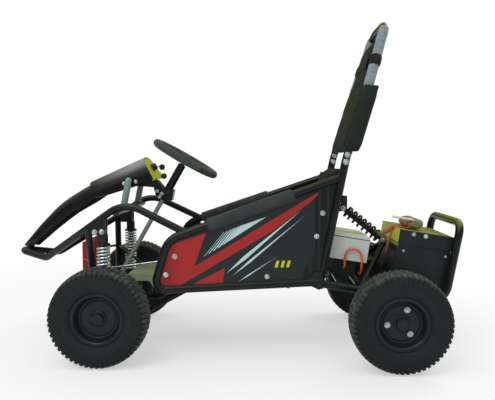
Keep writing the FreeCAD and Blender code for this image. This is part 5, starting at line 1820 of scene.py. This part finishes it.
@dataclass
class BoxTrim:
    """Seams, plugs and straps of the rear box, a tool's handle on it, and the pale case's lid seam."""

    slope: Point = (0.98876, 0.0, -0.14954)
    seam_radius: float = 0.0013
    box_corner: Point = (0.5885, -0.1402, 0.3945)
    box_run: float = 0.1925
    case_corner: Point = (0.3440, -0.1103, 0.4200)
    case_run: float = 0.1550
    plug: Profile = ((-0.001, 0.0), (-0.001, 0.0058), (0.0008, 0.0054), (0.0012, 0.0042), (0.0004, 0.0034),
                     (0.0004, 0.0))
    plug_places: Profile = ((0.7046, 0.4152), (0.7311, 0.4134))
    plug_side: float = 0.140
    brow: Point = (0.5965, 0.0, 0.4433)
    straps: tuple[Strap, ...] = (Strap(-0.070, -0.030, -0.005, 0.105, 0.020),
                                 Strap(-0.050, -0.060, 0.120, 0.050, 0.016))
    strap_tail: tuple[Spot, Spot] = ((0.062, 0.014), (0.045, 0.002))
    strap_bend: float = 0.004
    strap_gap: float = 0.0004
    strap_thickness: float = 0.0014
    handle_foot: tuple[Point, ...] = (
        (0.5850, -0.086, 0.4790), (0.5850, -0.068, 0.4790), (0.6600, -0.068, 0.4660),
        (0.6600, -0.086, 0.4660))
    handle_push: Point = (0.001, 0.0, 0.007)
    handle_bevel: float = 0.0025

    def seam(self, front: Point, length: float) -> list[Surface]:
        """A thin bead down both sides and across the front of a tilted box.

        Args:
            front: the left side's front corner.
            length: how far it runs back.

        Returns:
            The three beads.
        """
        corner = np.array(front)
        back = corner + np.array(self.slope) * length
        flip = np.array([1.0, -1.0, 1.0])
        lines = ((corner, back), (corner * flip, back * flip), (corner, corner * flip))
        return [pipe(np.array(line), self.seam_radius, 8) for line in lines]

    def ribbon(self, path: np.ndarray, out: np.ndarray, width: float) -> Surface:
        """A flat strap along a path.

        Args:
            path: points on what it lies on.
            out: the direction away from that surface at each point.
            width: its width, half on each side of the path.

        Returns:
            The strap.
        """
        along = np.gradient(path, axis=0)
        across = np.cross(along, out)
        across *= width / 2 / np.linalg.norm(across, axis=1, keepdims=True)
        rise = out * self.strap_thickness
        rings = np.stack([path - across, path + across, path + across + rise, path - across + rise], axis=1)
        return Surface.grid(rings, wrap_columns=True)

    def over_edge(self, strap: Strap) -> Surface:
        """One strap that lies on the lid, turns over its front edge and hangs down the front.

        Args:
            strap: its places across the buggy, its drop and its width.

        Returns:
            The strap.
        """
        back = np.array(self.slope)
        up = unit((-back[2], 0.0, back[0]))
        (tail, tail_rise), (knee, knee_rise) = self.strap_tail
        half_way = (strap.edge + strap.end) / 2
        places = np.array([(tail, tail_rise, strap.start), (knee, knee_rise, strap.start),
                           (self.strap_bend, 0.0, strap.edge), (0.0, 0.0, strap.edge),
                           (0.0, -self.strap_bend, strap.edge), (0.0, -strap.drop / 2, half_way),
                           (0.0, -strap.drop, strap.end)])
        run = np.array(self.brow) + places @ np.stack([back, up, [0.0, 1.0, 0.0]])
        out = np.array([up] * 3 + [unit(up - back)] + [-back] * 3)
        return self.ribbon(run + out * self.strap_gap, out, strap.width)

    def build(self, paint: Paintwork) -> None:
        """Makes the seams, the plugs, the straps and the handle.

        Args:
            paint: the finishes.
        """
        dark = self.seam(self.box_corner, self.box_run) + self.seam(self.case_corner, self.case_run)
        for side in Side:
            for x, z in self.plug_places:
                place = (x, side.value * self.plug_side, z)
                dark.append(lathe(self.plug, place, (0.0, float(side.value), 0.0), 18))
        seams = add_piece("box_seams", Surface.merge(dark), paint.finish("motor_shell"), "chassis")
        lashing = add_piece("lid_straps", Surface.merge([self.over_edge(strap) for strap in self.straps]),
                            paint.finish("orange_cable"), "chassis")
        grip = slab(np.array(self.handle_foot), np.array(self.handle_push))
        handle = add_piece("tool_handle", grip, paint.finish("grey_plastic"), "chassis",
                           bevel=self.handle_bevel)


@dataclass
class WheelTrim:
    """The valve stems of the four wheels: rubber stems with caps that lean outward from the rims' wells."""

    angle: float = -32.7
    out: float = 0.0165
    foot_radius: float = 0.070
    rise: float = 0.010
    reach: float = 0.030
    radii: tuple[float, ...] = (0.0046, 0.0046, 0.0040, 0.0034, 0.0034, 0.0038, 0.0038, 0.0032)

    def stem(self, axle: Axle, side: Side) -> Surface:
        """One stem.

        Args:
            axle: the pair of wheels.
            side: which of the two.

        Returns:
            The stem.
        """
        turn = math.radians(self.angle)
        out = np.array([math.cos(turn), 0.0, math.sin(turn)])
        foot = np.array(axle.centre(side, self.out)) + out * self.foot_radius
        tip = foot + out * self.rise + np.array([0.0, side.value * self.reach, 0.0])
        share = np.linspace(0, 1, len(self.radii))[:, None]
        return pipe(foot + share * (tip - foot), self.radii, 12)

    def build(self, paint: Paintwork) -> None:
        """Makes a stem on each wheel.

        Args:
            paint: the finishes.
        """
        for side in Side:
            for axle in (FRONT, REAR):
                name = "%s_valve_%s" % (axle.end, side.name.lower())
                item = add_piece(name, self.stem(axle, side), paint.finish("black_plastic"), axle.body(side))


@dataclass
class SeatTrim:
    """The elastic band across the headrest and round the hoop's two tubes."""

    low: float = 1.010
    high: float = 1.050
    half_width: float = 0.112
    ahead: float = 0.018
    bow: float = 0.004
    half_depth: float = 0.0020
    forward: float = 0.0035
    loop_radii: tuple[float, ...] = (0.0168, 0.0196, 0.0206, 0.0208, 0.0208, 0.0208, 0.0206, 0.0196, 0.0168)

    def strip(self) -> Surface:
        """The bowed strip ahead of the headrest.

        An oval is carried across, and bowed forward by 1 less the square of its share of the half width.

        Returns:
            The strip.
        """
        across = np.linspace(-1, 1, 41)[None]
        around = np.linspace(0, 2 * np.pi, 20, endpoint=False)[:, None]
        height = (self.low + self.high) / 2 + (self.high - self.low) / 2 * np.sin(around)
        front = UPPER_HOOP.x(height) - self.ahead
        depth = self.half_depth * np.cos(around) - self.forward
        bow = self.bow * (1 - across ** 2)
        points = np.stack([front + depth - bow, self.half_width * across + 0 * around, height + 0 * across],
                          axis=-1)
        return Surface.grid(points, wrap_rows=True)

    def build(self, paint: Paintwork) -> None:
        """Makes the strip and its loops as one piece.

        Args:
            paint: the finishes.
        """
        height = np.linspace(self.low, self.high, len(self.loop_radii))
        loops = [pipe(UPPER_HOOP.line(height, side), self.loop_radii, 28, Edge.OPEN) for side in Side]
        shape = Surface.merge([self.strip(), *loops])
        item = add_piece("headrest_band", shape, paint.finish("seat_fabric"), "chassis")


@dataclass
class Fasteners:
    """Domed bolt heads with washers, in one piece for each body.

    A trim bolt has a place along the buggy, a half width, a height and a scale.
    """

    washer: Profile = ((-0.001, 0.0), (-0.001, 0.0085), (0.0012, 0.0085), (0.0015, 0.0078), (0.0015, 0.0))
    head: Profile = ((0.0014, 0.0), (0.0014, 0.0065), (0.0050, 0.0065), (0.0058, 0.00559), (0.0062, 0.0))
    dome: Profile = ((0.0060, 0.0042), (0.0078, 0.0036), (0.0088, 0.0020), (0.0091, 0.0))
    panel_bolts: Profile = ((-0.1879, 0.3594), (-0.2181, 0.2974), (0.1255, 0.2837), (0.3183, 0.5027),
                            (0.2977, 0.4221))
    panel_out: float = 0.0015
    panel_scale: float = 1.05
    joint_heights: tuple[float, float] = (0.6805, 0.7040)
    leg_foot: Spot = (0.3085, 0.252)
    leg_lean: float = 0.200913
    joint_outer: Spot = (0.186, 1.2)
    joint_inner: Spot = (0.158, 1.1)
    trim: tuple[tuple[float, float, float, float], ...] = (
        (-0.4425, 0.2212, 0.438, 1.1), (-0.4670, 0.2212, 0.437, 1.1), (0.4135, 0.0142, 0.506, 1.1),
        (0.5645, 0.0142, 0.386, 1.2), (0.6447, 0.1400, 0.4249, 0.9), (0.6870, 0.1400, 0.4180, 0.9),
        (0.6094, 0.1380, 0.3664, 0.6), (0.7590, 0.1380, 0.3456, 0.6), (-0.3949, 0.0955, 0.5990, 0.8),
        (-0.3518, 0.0975, 0.6060, 0.8), (-0.2880, 0.0200, 0.5680, 0.8), (-0.2710, 0.0200, 0.5580, 0.8),
        (-0.2790, 0.0200, 0.5460, 0.8))
    stud_angles: tuple[float, ...] = (68.3, 188.3, 308.3)
    stud_circle: float = 0.046
    stud_out: float = 0.0203
    stud_scale: float = 1.15

    def bolt(self, place: Point, out: float, scale: float) -> Surface:
        """A washer, a hexagon head and its dome, turned about the bolt's axis across the buggy.

        Args:
            place: where the washer lies.
            out: the sign of y toward which the head looks.
            scale: its size against the profiles.

        Returns:
            The bolt.
        """
        shells = ((self.washer, 20), (self.head, 6), (self.dome, 14))
        return Surface.merge([lathe([(along * scale, radius * scale) for along, radius in profile], place,
                                    (0.0, float(out), 0.0), steps) for profile, steps in shells])

    def chassis_bolts(self, side: Side) -> list[Surface]:
        """The bolts of the panel, of the hoop's joint and of the rest of the chassis on one side.

        Args:
            side: which side.

        Returns:
            The bolts.
        """
        out = side.value
        bolts = [self.bolt((x, out * (ARM_BAR.half_width(x) + self.panel_out), z), out, self.panel_scale)
                 for x, z in self.panel_bolts]
        for z in self.joint_heights:
            x = self.leg_foot[0] + (z - self.leg_foot[1]) * self.leg_lean
            for (half_width, scale), way in ((self.joint_outer, out), (self.joint_inner, -out)):
                bolts.append(self.bolt((x, out * half_width, z), way, scale))
        return bolts + [self.bolt((x, out * y, z), out, scale) for x, y, z, scale in self.trim]

    def studs(self, side: Side) -> list[Surface]:
        """The bolts round the hub of one rear wheel.

        Args:
            side: which side.

        Returns:
            The bolts.
        """
        hub = np.array(REAR.centre(side, self.stud_out))
        turns = [math.radians(degrees) for degrees in self.stud_angles]
        arms = [np.array([math.cos(turn), 0.0, math.sin(turn)]) * self.stud_circle for turn in turns]
        return [self.bolt(tuple(hub + arm), side.value, self.stud_scale) for arm in arms]

    def build(self, paint: Paintwork) -> None:
        """Makes the bolts of the chassis and of the rear wheels.

        Args:
            paint: the finishes.
        """
        for name, maker, body in (("frame_bolts", self.chassis_bolts, "chassis"),
                                  ("wheel_bolts", self.studs, "rear_axle")):
            heads = Surface.merge([head for side in Side for head in maker(side)])
            item = add_piece(name, heads, paint.finish("zinc_steel"), body, smooth=False)


@dataclass
class Wiring:
    """The free power cable beside the controller."""

    radius: float = 0.004
    route: tuple[Point, ...] = ((0.4055, -0.090, 0.2975), (0.4055, -0.122, 0.2975), (0.4055, -0.122, 0.368),
                                (0.4675, -0.122, 0.368), (0.4655, -0.122, 0.270), (0.4655, -0.060, 0.270))

    def build(self, paint: Paintwork) -> None:
        """Args:
            paint: the finishes.
        """
        curve = bpy.data.curves.new("power_lead", "CURVE")
        curve.dimensions = "3D"
        line = curve.splines.new("NURBS")
        line.points.add(len(self.route) - 1)
        line.points.foreach_set("co", np.array([(*point, 1.0) for point in self.route]).ravel())
        line.order_u = 3
        line.use_endpoint_u = True
        curve.resolution_u = 12
        item = bpy.data.objects.new("power_lead", curve)
        bpy.context.scene.collection.objects.link(item)
        plain = bpy.data.meshes.new_from_object(item.evaluated_get(bpy.context.evaluated_depsgraph_get()))
        points = np.zeros(len(plain.vertices) * 3)
        plain.vertices.foreach_get("co", points)
        length = float(np.linalg.norm(np.diff(points.reshape(-1, 3), axis=0), axis=1).sum())
        curve.bevel_depth = self.radius
        curve.bevel_resolution = 4
        curve.materials.append(paint.finish("orange_cable"))
        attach(item, "chassis")
        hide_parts("power_cable")
        LOG.info("cord power_lead: %.3f m", length)


def main() -> None:
    """Builds the camera, the studio, the finishes and every piece in order."""
    logging.basicConfig(level=logging.INFO, format="%(name)s %(message)s")
    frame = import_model()
    Viewpoint().build()
    paint = Paintwork()
    Wiring().build(paint)
    Studio().build()
    paint.dress(frame)
    for axle in (FRONT, REAR):
        for side in Side:
            place, body, centre = side.name.lower(), axle.body(side), axle.centre(side)
            Tyre("%s_tyre_%s" % (axle.end, place), body, centre, side).build()
            Rim("%s_rim_%s" % (axle.end, place), body, centre, side, axle.bore).build(paint)
    for node in ("seat_cushion", "seat_back_lower", "seat_back_upper"):
        SoftPad(node).build(frame, paint.finish("seat_fabric"), "seat_fabric")
    Fairing().build(paint)
    Luggage().build(paint)
    BoxTrim().build(paint)
    WheelTrim().build(paint)
    SeatTrim().build(paint)
    Sleeves().build(paint)
    Fasteners().build(paint)


if __name__ == "__main__":
    main()
